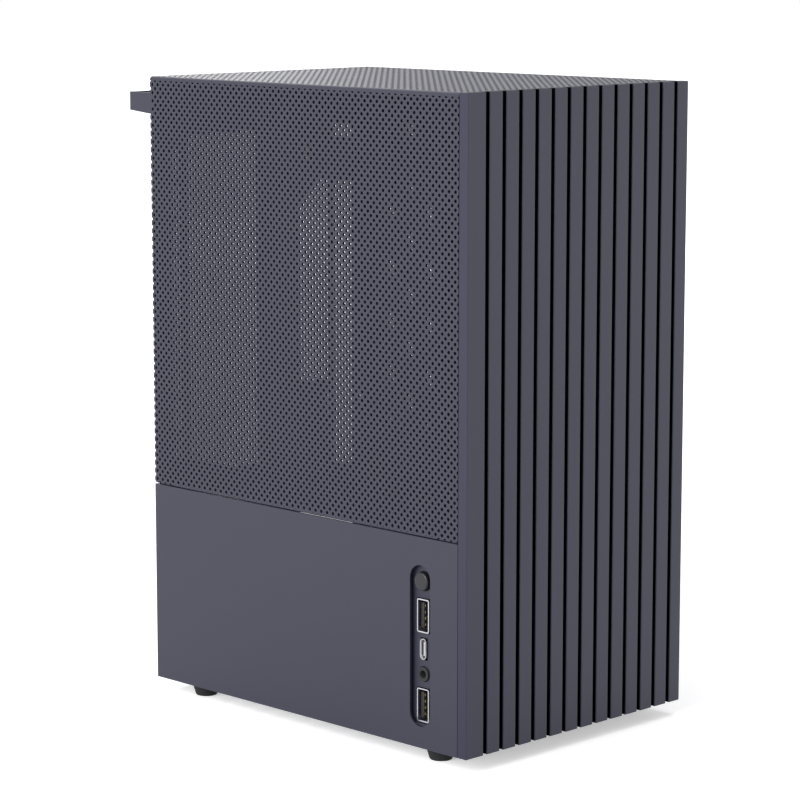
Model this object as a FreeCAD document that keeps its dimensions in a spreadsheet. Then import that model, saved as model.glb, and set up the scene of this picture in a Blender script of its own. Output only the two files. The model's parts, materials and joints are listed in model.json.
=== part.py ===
import FreeCAD, Part
import Sketcher
import math
import os

# Small form factor computer case, millimetres, +Z up, front face towards -Y, left side towards -X.
# The origin is on the floor, under the middle of the whole case with its rear rail.

doc = FreeCAD.newDocument("small_case")
sheet = doc.addObject("Spreadsheet::Sheet", "sizes")

# Driving dimensions. Levels are heights above the underside of the front panel,
# and names ending in _side are distances from the left face of the case.
SIZES = {
    "case_wide": 140.0,
    "case_tall": 280.0,
    "case_deep": 200.0,
    "sheet_thick": 1.2,
    "skin_thick": 1.2,
    "slide_gap": 0.3,
    "floor_lift": 1.0,
    "panel_thick": 5.0,
    "groove_first_side": 11.8,
    "groove_pitch": 10.0,
    "groove_wide": 2.4,
    "groove_deep": 3.2,
    "boss_radius": 2.8,
    "post_wide": 16.5,
    "post_foot_wide": 19.4,
    "corner_cut": 3.0,
    "front_flange_deep": 10.0,
    "comb_low_level": 16.7,
    "comb_high_level": 93.0,
    "band_low_level": 225.4,
    "band_high_level": 261.5,
    "cell_flat": 10.6,
    "cell_pitch": 12.75,
    "cell_low_level": 33.9,
    "cell_band_level": 239.7,
    "post_hole_side": 11.8,
    "post_hole_step": 10.3,
    "post_hole_low_level": 104.9,
    "post_hole_high_level": 213.1,
    "screw_hole_radius": 1.7,
    "rear_flange_deep": 8.2,
    "rear_post_left_wide": 10.5,
    "rear_post_right_wide": 13.8,
    "rear_bar_low_level": 66.2,
    "rear_bar_high_level": 86.5,
    "rear_top_bar_level": 253.0,
    "rear_row_level": 267.4,
    "rear_low_row_level": 78.6,
    "rear_row_side": 23.0,
    "rear_low_row_side": 7.7,
    "rear_row_pitch": 4.5,
    "rear_row_radius": 1.7,
    "hook_slot_side": 130.4,
    "hook_slot_wide": 4.2,
    "hook_slot_tall": 8.0,
    "hook_slot_pitch": 10.5,
    "hook_slot_low_level": 105.1,
    "hook_slot_high_level": 212.9,
    "plate_left_side": 4.2,
    "plate_right_side": 112.3,
    "plate_low_level": 80.0,
    "plate_left_level": 262.9,
    "plate_high_level": 275.7,
    "plate_notch_left_side": 20.1,
    "plate_notch_right_side": 94.3,
    "shield_wide": 44.45,
    "shield_tall": 158.75,
    "shield_low_level": 94.1,
    "board_plane_side": 66.7,
    "shield_drop": 3.8,
    "card_gap_side": 75.3,
    "card_gap_wide": 33.7,
    "card_gap_low_level": 130.0,
    "card_gap_high_level": 234.2,
    "tab_gap_side": 69.2,
    "tab_gap_low_level": 109.7,
    "tab_gap_high_level": 125.6,
    "ladder_side": 6.2,
    "ladder_wide": 8.0,
    "ladder_low_level": 99.3,
    "ladder_pitch": 16.65,
    "ladder_rung": 2.4,
    "nub_radius": 1.1,
    "tray_front_place": 20.0,
    "tray_high_level": 251.7,
    "tray_flange_wide": 8.3,
    "tray_foot_wide": 25.0,
    "tray_hole_side": 4.9,
    "tray_foot_hole_side": 19.9,
    "tray_tab_high_level": 99.7,
    "tray_tab_hole_level": 88.5,
    "tray_flange_hole_low": 97.4,
    "tray_flange_hole_high": 244.3,
    "window_low_level": 99.9,
    "window_high_level": 232.2,
    "window_rear_margin": 21.7,
    "window_front_margin": 9.0,
    "window_cut": 15.0,
    "tray_spare_place": 43.9,
    "tray_spare_rise": 6.0,
    "standoff_tall": 6.35,
    "standoff_radius": 2.7,
    "standoff_bore": 1.25,
    "board_low_level": 80.15,
    "board_edge_hole": 6.35,
    "board_rear_hole": 11.5,
    "board_hole_tall": 157.48,
    "board_hole_deep": 154.94,
    "board_hole_shift": 22.86,
    "floor_flange_tall": 9.4,
    "floor_flange_inset": 11.7,
    "floor_slot_side": 6.3,
    "floor_slot_long": 35.4,
    "floor_slot_step": 41.15,
    "floor_slot_wide": 6.4,
    "floor_slot_place": 34.9,
    "floor_slot_pitch": 12.4,
    "floor_hole_side": 6.6,
    "floor_hole_inner_side": 26.5,
    "ground_gap": 7.0,
    "foot_side": 12.4,
    "foot_front_place": 26.7,
    "foot_rear_place": 179.5,
    "foot_top_radius": 6.6,
    "foot_base_radius": 4.9,
    "foot_rim_tall": 2.4,
    "foot_sink_deep": 4.0,
    "foot_sink_radius": 3.3,
    "bracket_flange_tall": 8.8,
    "bracket_side_gap": 2.7,
    "bracket_border": 14.0,
    "bracket_side_border": 9.0,
    "bracket_bar": 5.5,
    "bracket_hole_side": 6.4,
    "bracket_hole_step": 7.6,
    "cover_level": 92.7,
    "cover_return_front": 8.4,
    "cover_return_rear": 11.2,
    "cover_top_return": 8.6,
    "cover_hem_tall": 14.0,
    "cover_hem_inset": 13.0,
    "cover_bend": 1.8,
    "cover_fold_gap": 0.4,
    "side_panel_tall": 92.0,
    "side_return": 3.5,
    "side_hole_place": 6.0,
    "side_hole_low_level": 10.4,
    "side_hole_high_level": 84.1,
    "side_nut_deep": 0.8,
    "side_nut_gap": 0.1,
    "port_slot_place": 27.4,
    "port_slot_wide": 12.0,
    "port_slot_low_level": 9.3,
    "port_slot_high_level": 79.8,
    "rail_inset": 3.7,
    "rail_reach": 18.3,
    "rail_tall": 10.0,
    "rail_web_tall": 8.4,
    "rail_low_level": 262.3,
    "rail_lip": 15.0,
    "rail_hole_side": 14.5,
    "rail_hole_radius": 2.2,
    "rail_boss_radius": 2.7,
    "clamp_wide": 38.4,
    "clamp_low_level": 107.6,
    "clamp_high_level": 125.8,
    "clamp_hood_deep": 9.8,
    "clamp_lip_tall": 5.4,
    "clamp_tab_wide": 14.0,
    "clamp_tab_cut": 5.0,
    "clamp_tab_low_level": 100.0,
    "clamp_hole_level": 105.8,
    "clamp_hole_drop": 0.8,
    "clamp_hole_rise": 1.8,
    "port_plate_thick": 1.0,
    "port_plate_gap": 1.5,
    "port_plate_front": 19.0,
    "port_plate_rear": 36.0,
    "port_plate_low_level": 6.0,
    "port_plate_high_level": 86.0,
    "port_wall_deep": 16.0,
    "port_ear_level": 91.0,
    "port_foot_deep": 8.0,
    "port_screw_inset": 5.0,
    "board_screw_radius": 1.05,
    "board_thick": 1.6,
    "port_board_low_level": 4.4,
    "port_board_high_level": 79.5,
    "port_board_wide": 13.5,
    "usb_tall": 14.6,
    "usb_wide": 7.0,
    "usb_deep": 13.2,
    "usb_wall": 0.6,
    "usb_back_wall": 1.5,
    "usb_tongue_front": 1.2,
    "usb_tongue_side": 0.4,
    "usb_tongue_thick": 1.9,
    "usb_tongue_end": 1.8,
    "usb_tongue_back": 1.0,
    "usb_high_level": 57.5,
    "usb_low_level": 18.4,
    "usb_c_tall": 9.2,
    "usb_c_wide": 3.6,
    "usb_c_level": 43.0,
    "usb_c_wall": 0.35,
    "usb_c_back": 4.0,
    "usb_c_mouth_back": 5.5,
    "usb_c_tongue_front": 0.8,
    "usb_c_tongue_half": 0.35,
    "usb_c_tongue_end": 0.3,
    "usb_c_tongue_back": 5.0,
    "usb_c_seat_front": 3.0,
    "usb_c_seat_sink": 0.6,
    "jack_radius": 3.1,
    "jack_bore": 1.75,
    "jack_bore_deep": 9.0,
    "jack_level": 32.0,
    "port_clearance": 0.3,
    "port_block_gap": 0.4,
    "port_mouth_reach": 0.8,
    "jack_block_deep": 10.0,
    "button_radius": 4.0,
    "button_level": 72.6,
    "button_inset": 0.4,
    "button_deep": 5.2,
    "button_dome": 0.8,
    "button_stem_radius": 1.6,
    "button_travel_gap": 1.4,
    "button_stem_reach": 0.6,
    "button_stem_gap": 0.08,
    "switch_bore_deep": 2.2,
    "switch_wide": 6.0,
    "switch_deep": 5.5,
    "head_radius": 2.9,
    "head_tall": 2.0,
    "shank_radius": 1.45,
    "shank_gap": 0.05,
    "sink_radius": 2.8,
    "sink_deep": 1.2,
    "sink_gap": 0.1,
    "thumb_radius": 4.2,
    "thumb_tall": 3.0,
    "screw_past": 2.0,
    "board_head_radius": 2.2,
    "board_head_tall": 1.5,
}

for row, (alias, value) in enumerate(SIZES.items(), start=1):
    sheet.set(f"A{row}", alias)
    sheet.set(f"B{row}", str(value))
    sheet.setAlias(f"B{row}", alias)
doc.recompute()


def size(text):
    """A formula in the short names of the sheet, with the sheet's own name put before each."""
    words = []
    word = ""
    for sign in text + " ":
        if sign.isalnum() or sign == "_" or (sign == "." and word[:1].isdigit()):
            word += sign
            continue
        words.append(f"sizes.{word}" if word in SIZES else word)
        words.append(sign)
        word = ""
    return "".join(words).strip()


def number(text):
    return float(sheet.evalExpression(size(text)))


# Planes and levels that several pieces share, as formulas of the sheet.
SIDE = "(case_wide / 2)"
FRAME_SIDE = "(case_wide / 2 - skin_thick - slide_gap)"
FRONT = "(-(case_deep + slide_gap + rail_reach) / 2)"
REAR = f"({FRONT} + case_deep)"
WEB_FRONT = f"({FRONT} + panel_thick + 2 * slide_gap + skin_thick)"
WEB_REAR = f"({REAR} - skin_thick - slide_gap)"
FLOOR_TOP = "(ground_gap + floor_lift + sheet_thick)"
FRAME_TOP = "(ground_gap + case_tall - skin_thick - slide_gap - sheet_thick)"
TRAY_REAR = f"({WEB_REAR} - 2 * sheet_thick)"
PORT_SIDE = "(-case_wide / 2 + skin_thick + port_plate_gap)"
# The screws at the rear of the side panels clear the plate that lies inside the rear frame.
SIDE_HOLE_REAR = f"({WEB_REAR} - 2 * sheet_thick - head_radius - slide_gap)"


def from_left(side):
    return f"(-case_wide / 2 + {side})"


def level(height):
    return f"(ground_gap + {height})"


def place(depth):
    return f"({FRONT} + {depth})"


def mirror(x):
    return f"(-{x})"


# Helpers that make features of a body, each bound to the sheet.

def new_body(label):
    item = doc.addObject("PartDesign::Body", label)
    item.Label = label
    return item


def origin_part(body, role):
    return [item for item in body.Origin.OriginFeatures if item.Role == role][0]


def new_sketch(body, name, plane, offset):
    sketch = body.newObject("Sketcher::SketchObject", name)
    sketch.AttachmentSupport = [(origin_part(body, plane), "")]
    sketch.MapMode = "FlatFace"
    sign = "-" if plane == "XZ_Plane" else ""
    sketch.setExpression("AttachmentOffset.Base.z", size(f"{sign}({offset})"))
    return sketch


def pins(shape, end, corner):
    """Constraints, each with its formula, that hold a point of a sketch against its origin."""
    held = []
    for kind, axis, text in (("DistanceX", -2, corner[0]), ("DistanceY", -1, corner[1])):
        value = number(text)
        if abs(value) < 1e-9:
            held.append((Sketcher.Constraint("PointOnObject", shape, end, axis), None))
        else:
            held.append((Sketcher.Constraint(kind, -1, 1, shape, end, value), text))
    return held


def hold(sketch, held):
    """Add all constraints in one go and bind those that have a formula."""
    first = sketch.ConstraintCount
    sketch.addConstraint([constraint for constraint, text in held])
    for index, (constraint, text) in enumerate(held, start=first):
        if text:
            sketch.setExpression(f"Constraints[{index}]", size(text))


def add_outline(sketch, corners):
    """A closed run of straight edges through the corners."""
    first = sketch.GeometryCount
    points = [FreeCAD.Vector(number(x), number(y), 0) for x, y in corners]
    count = len(points)
    lines = [Part.LineSegment(start, points[(index + 1) % count]) for index, start in enumerate(points)]
    sketch.addGeometry(lines, False)
    held = []
    for index, corner in enumerate(corners):
        following = first + (index + 1) % count
        held.append((Sketcher.Constraint("Coincident", first + index, 2, following, 1), None))
        held += pins(first + index, 1, corner)
    hold(sketch, held)


def add_box_outline(sketch, low, high):
    add_outline(sketch, [low, (high[0], low[1]), high, (low[0], high[1])])


def add_circles(sketch, centres, radius):
    """Circles of one radius about each of the centres."""
    up = FreeCAD.Vector(0, 0, 1)
    first = sketch.GeometryCount
    spots = [FreeCAD.Vector(number(x), number(y), 0) for x, y in centres]
    sketch.addGeometry([Part.Circle(spot, up, number(radius)) for spot in spots], False)
    held = []
    for shape, centre in enumerate(centres, start=first):
        held += pins(shape, 3, centre)
        held.append((Sketcher.Constraint("Radius", shape, number(radius)), radius))
    hold(sketch, held)


def add_hexagons(sketch, centres, flat):
    """Cells with a flat top and bottom, as wide between their flats as said."""
    for x, y in centres:
        add_outline(sketch, [(f"{x} + {flat} / sqrt(3) * cos({turn})", f"{y} + {flat} / sqrt(3) * sin({turn})")
                             for turn in range(0, 360, 60)])


def add_stadium(sketch, start, end, radius):
    """A slot with round ends about the two points, which lie along one axis of the sketch."""
    low = FreeCAD.Vector(number(start[0]), number(start[1]), 0)
    high = FreeCAD.Vector(number(end[0]), number(end[1]), 0)
    reach = number(radius)
    along = (high - low).normalize()
    across = FreeCAD.Vector(-along.y, along.x, 0)
    turn = math.atan2(along.y, along.x)
    up = FreeCAD.Vector(0, 0, 1)
    half = math.pi / 2
    first = sketch.GeometryCount
    sketch.addGeometry([
        Part.LineSegment(low - across * reach, high - across * reach),
        Part.ArcOfCircle(Part.Circle(high, up, reach), turn - half, turn + half),
        Part.LineSegment(high + across * reach, low + across * reach),
        Part.ArcOfCircle(Part.Circle(low, up, reach), turn + half, turn + 3 * half)], False)
    held = []
    for one, two in ((0, 1), (1, 2), (2, 3), (3, 0)):
        held.append((Sketcher.Constraint("Tangent", first + one, 2, first + two, 1), None))
    held.append((Sketcher.Constraint("Equal", first + 1, first + 3), None))
    held += pins(first + 3, 3, start) + pins(first + 1, 3, end)
    held.append((Sketcher.Constraint("Radius", first + 1, reach), radius))
    hold(sketch, held)


def pad(body, sketch, name, length):
    feature = body.newObject("PartDesign::Pad", name)
    feature.Profile = sketch
    feature.setExpression("Length", size(length))
    body.Tip = feature
    return feature


def cut(body, sketch, name, length):
    """A pocket that reaches half its length to each side of its sketch."""
    feature = body.newObject("PartDesign::Pocket", name)
    feature.Profile = sketch
    feature.Midplane = True
    feature.setExpression("Length", size(length))
    body.Tip = feature
    return feature


def drill(body, name, plane, offset, spots, radius, length="4 * sheet_thick"):
    """Round holes of one radius at the spots, through the sheet that lies at the offset."""
    sketch = new_sketch(body, f"{name}_rings", plane, offset)
    add_circles(sketch, spots, radius)
    return cut(body, sketch, f"{name}_cuts", length)


def box(body, name, low, high, kind="Additive"):
    """A block of a body between two corners, added to it or cut from it."""
    feature = body.newObject(f"PartDesign::{kind}Box", name)
    for axis, edge, start, end in zip("xyz", ("Length", "Width", "Height"), low, high):
        feature.setExpression(f"Placement.Base.{axis}", size(start))
        feature.setExpression(edge, size(f"({end}) - ({start})"))
    body.Tip = feature
    return feature


def repeat(body, feature, name, runs):
    """Copies of a feature in rows: each run is an axis, a step and a count."""
    grid = body.newObject("PartDesign::MultiTransform", name)
    grid.Originals = [feature]
    rows = []
    for axis, step, count in runs:
        row = body.newObject("PartDesign::LinearPattern", f"{name}_{axis}")
        row.Direction = (origin_part(body, f"{axis}_Axis"), [""])
        row.setExpression("Length", size(f"{step} * {count - 1}"))
        row.Occurrences = count
        rows.append(row)
    grid.Transformations = rows
    body.Tip = grid
    return grid


def front_panel():
    """Thick slatted front: one plate, its full height cut by narrow grooves."""
    body = new_body("front_panel")
    outline = new_sketch(body, "front_panel_outline", "XZ_Plane", f"{FRONT} + panel_thick")
    add_box_outline(outline, (mirror(SIDE), level("0")), (SIDE, level("case_tall")))
    pad(body, outline, "front_panel_plate", "panel_thick")
    doc.recompute()
    middle = from_left("groove_first_side")
    groove = box(body, "front_panel_groove",
                 (f"{middle} - groove_wide / 2", f"{FRONT} - 1", level("-1")),
                 (f"{middle} + groove_wide / 2", f"{FRONT} + groove_deep", level("case_tall + 1")),
                 "Subtractive")
    doc.recompute()
    repeat(body, groove, "front_panel_grooves", [("X", "groove_pitch", 13)])
    doc.recompute()
    bosses = new_sketch(body, "front_panel_boss_rings", "XZ_Plane", WEB_FRONT)
    add_circles(bosses, panel_screw_places(), "boss_radius")
    pad(body, bosses, "front_panel_bosses", "2 * slide_gap + skin_thick")
    doc.recompute()
    drill(body, "front_panel_bores", "XZ_Plane", WEB_FRONT, panel_screw_places(),
          "shank_radius + shank_gap", "2 * (2 * slide_gap + skin_thick + 1)")
    return body


def panel_screw_places():
    spots = []
    for side in (from_left("post_hole_side"), mirror(from_left("post_hole_side"))):
        for height in ("post_hole_low_level", "post_hole_high_level"):
            spots.append((side, level(f"{height} + post_hole_step")))
    return spots


def cell_place(column, height):
    """Middle of a honeycomb cell: twelve columns stand evenly about the middle of the case."""
    return (f"({column - 6.5}) * cell_pitch * sqrt(3) / 2", level(height))


def cell_block(body, name, web_middle, row, height, up):
    """Rows of cells one above the other. Even columns stand half a pitch lower than odd ones."""
    sketch = new_sketch(body, f"{name}_cells", "XZ_Plane", web_middle)
    add_hexagons(sketch, cell_row(row, height), "cell_flat")
    cells = cut(body, sketch, f"{name}_cuts", "3 * sheet_thick")
    doc.recompute()
    repeat(body, cells, name, [("Z", "cell_pitch", up)])
    doc.recompute()


def cell_row(columns, height):
    return [cell_place(column, height if column % 2 else f"{height} - cell_pitch / 2") for column in columns]


def front_frame():
    """Folded front frame: two posts, a honeycomb band above the fan opening and one below it."""
    body = new_body("front_frame")
    foot = f"({SIDE} - post_foot_wide)"
    post = f"({SIDE} - post_wide)"
    bottom = FLOOR_TOP
    top = FRAME_TOP
    comb_low, comb_high = level("comb_low_level"), level("comb_high_level")
    band_low, band_high = level("band_low_level"), level("band_high_level")
    web = new_sketch(body, "front_frame_outline", "XZ_Plane", f"{WEB_FRONT} + sheet_thick")
    add_outline(web, [
        (mirror(FRAME_SIDE), bottom), (mirror(foot), bottom), (mirror(foot), comb_low),
        (foot, comb_low), (foot, bottom), (FRAME_SIDE, bottom),
        (FRAME_SIDE, top), (foot, top), (foot, band_high),
        (mirror(foot), band_high), (mirror(foot), top), (mirror(FRAME_SIDE), top)])
    add_outline(web, [
        (mirror(post), f"{comb_high} + corner_cut"), (f"corner_cut - {post}", comb_high),
        (f"{post} - corner_cut", comb_high), (post, f"{comb_high} + corner_cut"),
        (post, f"{band_low} - corner_cut"), (f"{post} - corner_cut", band_low),
        (f"corner_cut - {post}", band_low), (mirror(post), f"{band_low} - corner_cut")])
    pad(body, web, "front_frame_web", "sheet_thick")
    doc.recompute()
    flange_end = f"{WEB_FRONT} + front_flange_deep"
    inner = f"({FRAME_SIDE} - sheet_thick)"
    box(body, "front_frame_flange_left", (mirror(FRAME_SIDE), WEB_FRONT, bottom),
        (mirror(inner), flange_end, top))
    box(body, "front_frame_flange_right", (inner, WEB_FRONT, bottom), (FRAME_SIDE, flange_end, top))
    for word, x_low, x_high in (("left", mirror(FRAME_SIDE), mirror(foot)), ("right", foot, FRAME_SIDE)):
        box(body, f"front_frame_head_{word}", (x_low, WEB_FRONT, f"{top} - sheet_thick"),
            (x_high, flange_end, top))
        box(body, f"front_frame_foot_{word}", (x_low, WEB_FRONT, bottom),
            (x_high, flange_end, f"{bottom} + sheet_thick"))
    doc.recompute()
    middle = f"{WEB_FRONT} + sheet_thick / 2"
    spots = [(TRAY_TAB_HOLE, level("tray_tab_hole_level"))]
    left = from_left("post_hole_side")
    for x in (left, mirror(left)):
        for start in ("post_hole_low_level", "post_hole_high_level"):
            spots += [(x, level(f"{start} + {step} * post_hole_step")) for step in range(3)]
    drill(body, "front_frame_web", "XZ_Plane", middle, spots, "screw_hole_radius")
    drill_side_holes(body, f"{WEB_FRONT} + side_hole_place")
    drill(body, "front_frame_head", "XY_Plane", f"{top} - sheet_thick / 2",
          bracket_screw_places()[:4], "screw_hole_radius")
    drill(body, "front_frame_foot", "XY_Plane", f"{bottom} + sheet_thick / 2",
          floor_screw_places()[:2], "screw_hole_radius")
    doc.recompute()
    low, band = "cell_low_level", "cell_band_level"
    edge_cells = cell_row((1,), f"{low} - cell_pitch")
    edge_cells += cell_row((1, 2, 3, 4, 5, 6, 8, 9, 10, 11, 12), f"{low} + 4 * cell_pitch")
    edge_cells += cell_row((1, 12), f"{band} + cell_pitch") + cell_row((1, 12), f"{band} + 2 * cell_pitch")
    edge = new_sketch(body, "edge_cells", "XZ_Plane", middle)
    add_hexagons(edge, edge_cells, "cell_flat")
    cut(body, edge, "edge_cell_cuts", "3 * sheet_thick")
    doc.recompute()
    cell_block(body, "comb", middle, range(1, 13), low, 4)
    cell_block(body, "band", middle, range(2, 12), band, 2)
    return body


def drill_side_holes(body, y):
    """Holes through both side flanges, where the lower side panels are screwed on."""
    spots = [(y, level(height)) for height in ("side_hole_low_level", "side_hole_high_level")]
    for word, x in (("left", mirror(FRAME_SIDE)), ("right", FRAME_SIDE)):
        drill(body, f"{body.Label}_side_{word}", "YZ_Plane", x, spots, "screw_hole_radius")


TRAY_TAB_HOLE = "(-case_wide / 2 + board_plane_side + tray_foot_hole_side)"


def rear_frame():
    """Folded rear frame: two posts, a bar at the top and one below the card opening."""
    body = new_body("rear_frame")
    left = f"(-{SIDE} + rear_post_left_wide)"
    right = f"({SIDE} - rear_post_right_wide)"
    bar_low, bar_high = level("rear_bar_low_level"), level("rear_bar_high_level")
    bottom, top = FLOOR_TOP, FRAME_TOP
    web = new_sketch(body, "rear_frame_outline", "XZ_Plane", WEB_REAR)
    add_outline(web, [
        (mirror(FRAME_SIDE), bottom), (left, bottom), (left, bar_low), (right, bar_low),
        (right, bottom), (FRAME_SIDE, bottom), (FRAME_SIDE, top), (mirror(FRAME_SIDE), top)])
    add_outline(web, [(left, bar_high), (right, bar_high), (right, level("rear_top_bar_level")),
                      (left, level("rear_top_bar_level"))])
    pad(body, web, "rear_frame_web", "sheet_thick")
    doc.recompute()
    flange_start = f"{WEB_REAR} - rear_flange_deep"
    inner = f"({FRAME_SIDE} - sheet_thick)"
    box(body, "rear_frame_flange_left", (mirror(FRAME_SIDE), flange_start, bottom),
        (mirror(inner), WEB_REAR, top))
    box(body, "rear_frame_flange_right", (inner, flange_start, bottom), (FRAME_SIDE, WEB_REAR, top))
    box(body, "rear_frame_head", (mirror(FRAME_SIDE), flange_start, f"{top} - sheet_thick"),
        (FRAME_SIDE, WEB_REAR, top))
    box(body, "rear_frame_foot_left", (mirror(FRAME_SIDE), flange_start, bottom),
        (left, WEB_REAR, f"{bottom} + sheet_thick"))
    box(body, "rear_frame_foot_right", (right, flange_start, bottom),
        (FRAME_SIDE, WEB_REAR, f"{bottom} + sheet_thick"))
    doc.recompute()
    middle = f"{WEB_REAR} - sheet_thick / 2"
    rows = []
    for start, height in (("rear_row_side", "rear_row_level"), ("rear_low_row_side", "rear_low_row_level")):
        rows += [(from_left(f"{start} + {step} * rear_row_pitch"), level(height)) for step in range(4)]
    drill(body, "rear_frame_rows", "XZ_Plane", middle, rows, "rear_row_radius")
    drill(body, "rear_frame_rail", "XZ_Plane", middle, rail_screw_places(), "rail_hole_radius")
    drill(body, "rear_frame_plate", "XZ_Plane", middle, plate_screw_places(), "screw_hole_radius")
    slots = new_sketch(body, "rear_frame_slots", "XZ_Plane", middle)
    for start in ("hook_slot_low_level", "hook_slot_high_level"):
        for step in range(2):
            height = f"{start} + {step} * hook_slot_pitch"
            reach = "(hook_slot_tall - hook_slot_wide) / 2"
            add_stadium(slots, (from_left("hook_slot_side"), level(f"{height} - {reach}")),
                        (from_left("hook_slot_side"), level(f"{height} + {reach}")),
                        "hook_slot_wide / 2")
    cut(body, slots, "rear_frame_slot_cuts", "3 * sheet_thick")
    drill_side_holes(body, SIDE_HOLE_REAR)
    drill(body, "rear_frame_head", "XY_Plane", f"{top} - sheet_thick / 2",
          bracket_screw_places()[4:], "screw_hole_radius")
    drill(body, "rear_frame_foot", "XY_Plane", f"{bottom} + sheet_thick / 2",
          floor_screw_places()[2:], "screw_hole_radius")
    return body


def rail_screw_places():
    left = from_left("rail_hole_side")
    return [(left, level("rear_row_level")), (mirror(left), level("rear_row_level"))]


def plate_screw_places():
    """Screws of the input and output plate, on the two bars of the rear frame."""
    low = level("rear_bar_high_level - 3.2")
    high = level("rear_row_level")
    return [(from_left("plate_left_side + 8.5"), low), (from_left("plate_right_side - 4.3"), low),
            (from_left("plate_notch_right_side - 5"), high), (from_left("60"), high)]


def rear_io_plate():
    """Flat plate with the board's connector opening, the card openings and a ladder of vents."""
    body = new_body("rear_io_plate")
    left, right = from_left("plate_left_side"), from_left("plate_right_side")
    notch_left, notch_right = from_left("plate_notch_left_side"), from_left("plate_notch_right_side")
    low, shoulder, high = level("plate_low_level"), level("plate_left_level"), level("plate_high_level")
    rear = f"{WEB_REAR} - sheet_thick"
    outline = new_sketch(body, "rear_io_plate_outline", "XZ_Plane", rear)
    add_outline(outline, [(left, low), (right, low), (right, shoulder), (notch_right, shoulder),
                          (notch_right, high), (notch_left, high), (notch_left, shoulder),
                          (left, shoulder)])
    shield_far = "board_plane_side - standoff_tall - board_thick + shield_drop"
    add_box_outline(outline, (from_left(f"{shield_far} - shield_wide"), level("shield_low_level")),
                    (from_left(shield_far), level("shield_low_level + shield_tall")))
    card_far = from_left("card_gap_side + card_gap_wide")
    add_box_outline(outline, (from_left("card_gap_side"), level("card_gap_low_level")),
                    (card_far, level("card_gap_high_level")))
    add_box_outline(outline, (from_left("tab_gap_side"), level("tab_gap_low_level")),
                    (card_far, level("tab_gap_high_level")))
    pad(body, outline, "rear_io_plate_sheet", "sheet_thick")
    doc.recompute()
    nub = new_sketch(body, "rear_io_plate_nub", "XZ_Plane", rear)
    rung_level = "ladder_low_level - ladder_rung / 2"
    add_circles(nub, [(left, level(rung_level))], "nub_radius")
    nub_pad = pad(body, nub, "rear_io_plate_nub_pad", "sheet_thick")
    doc.recompute()
    repeat(body, nub_pad, "rear_io_plate_nubs", [("Z", "ladder_pitch", 10)])
    doc.recompute()
    window = box(body, "rear_io_plate_vent",
                 (from_left("ladder_side"), f"{rear} - 2 * sheet_thick", level("ladder_low_level")),
                 (from_left("ladder_side + ladder_wide"), f"{rear} + sheet_thick",
                  level("ladder_low_level + ladder_pitch - ladder_rung")), "Subtractive")
    doc.recompute()
    repeat(body, window, "rear_io_plate_vents", [("Z", "ladder_pitch", 9)])
    doc.recompute()
    middle = f"{rear} - sheet_thick / 2"
    drill(body, "rear_io_plate_screws", "XZ_Plane", middle,
          plate_screw_places() + tray_screw_places(), "screw_hole_radius")
    drill(body, "rear_io_plate_clamp", "XZ_Plane", middle,
          [(CLAMP_MIDDLE, level("clamp_hole_level"))], "shank_radius + shank_gap")
    return body


CLAMP_MIDDLE = "(-case_wide / 2 + (tab_gap_side + card_gap_side + card_gap_wide) / 2)"
TRAY_FACE = "(-case_wide / 2 + board_plane_side)"


def tray_screw_places():
    x = f"({TRAY_FACE} + tray_hole_side)"
    return [(x, level("tray_flange_hole_low")), (x, level("tray_flange_hole_high"))]


def motherboard_tray():
    """Upright tray between the two chambers: a plate with a big window, flanges at both ends."""
    body = new_body("motherboard_tray")
    front = place("tray_front_place")
    rear = TRAY_REAR
    low, high = level("board_low_level - 0.15"), level("tray_high_level")
    tab_front = f"({WEB_FRONT} + sheet_thick)"
    outline = new_sketch(body, "motherboard_tray_outline", "YZ_Plane", TRAY_FACE)
    add_outline(outline, [(tab_front, low), (rear, low), (rear, high), (front, high),
                          (front, level("tray_tab_high_level")), (tab_front, level("tray_tab_high_level"))])
    near, far = f"({front} + window_front_margin)", f"({rear} - window_rear_margin)"
    sill, head = level("window_low_level"), level("window_high_level")
    add_outline(outline, [(f"{near} + window_cut", sill), (f"{far} - window_cut", sill),
                          (far, f"{sill} + window_cut"), (far, f"{head} - window_cut"),
                          (f"{far} - window_cut", head), (f"{near} + window_cut", head),
                          (near, f"{head} - window_cut"), (near, f"{sill} + window_cut")])
    pad(body, outline, "motherboard_tray_plate", "sheet_thick")
    doc.recompute()
    wide = f"({TRAY_FACE} + tray_flange_wide)"
    box(body, "motherboard_tray_rear_flange", (TRAY_FACE, f"{rear} - sheet_thick", low),
        (wide, rear, high))
    box(body, "motherboard_tray_front_flange", (TRAY_FACE, tab_front, low),
        (f"({TRAY_FACE} + tray_foot_wide)", f"{tab_front} + sheet_thick", level("tray_tab_high_level")))
    doc.recompute()
    spare_seat = (f"{rear} - tray_spare_place", level("window_high_level + tray_spare_rise"))
    drill(body, "motherboard_tray_seats", "YZ_Plane", f"{TRAY_FACE} + sheet_thick / 2",
          standoff_places() + [spare_seat], "standoff_bore")
    drill(body, "motherboard_tray_rear", "XZ_Plane", f"{rear} - sheet_thick / 2",
          tray_screw_places(), "shank_radius + shank_gap")
    drill(body, "motherboard_tray_front", "XZ_Plane", f"{tab_front} + sheet_thick / 2",
          [(TRAY_TAB_HOLE, level("tray_tab_hole_level"))], "shank_radius + shank_gap")
    return body


def standoff_places():
    """The four holes of a small square board, whose upper rear one stands further forward."""
    rear = f"({TRAY_REAR} - board_rear_hole)"
    low = level("board_low_level + board_edge_hole")
    high = level("board_low_level + board_edge_hole + board_hole_tall")
    front = f"({rear} - board_hole_deep)"
    return [(rear, low), (f"({rear} - board_hole_shift)", high), (front, low), (front, high)]


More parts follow.
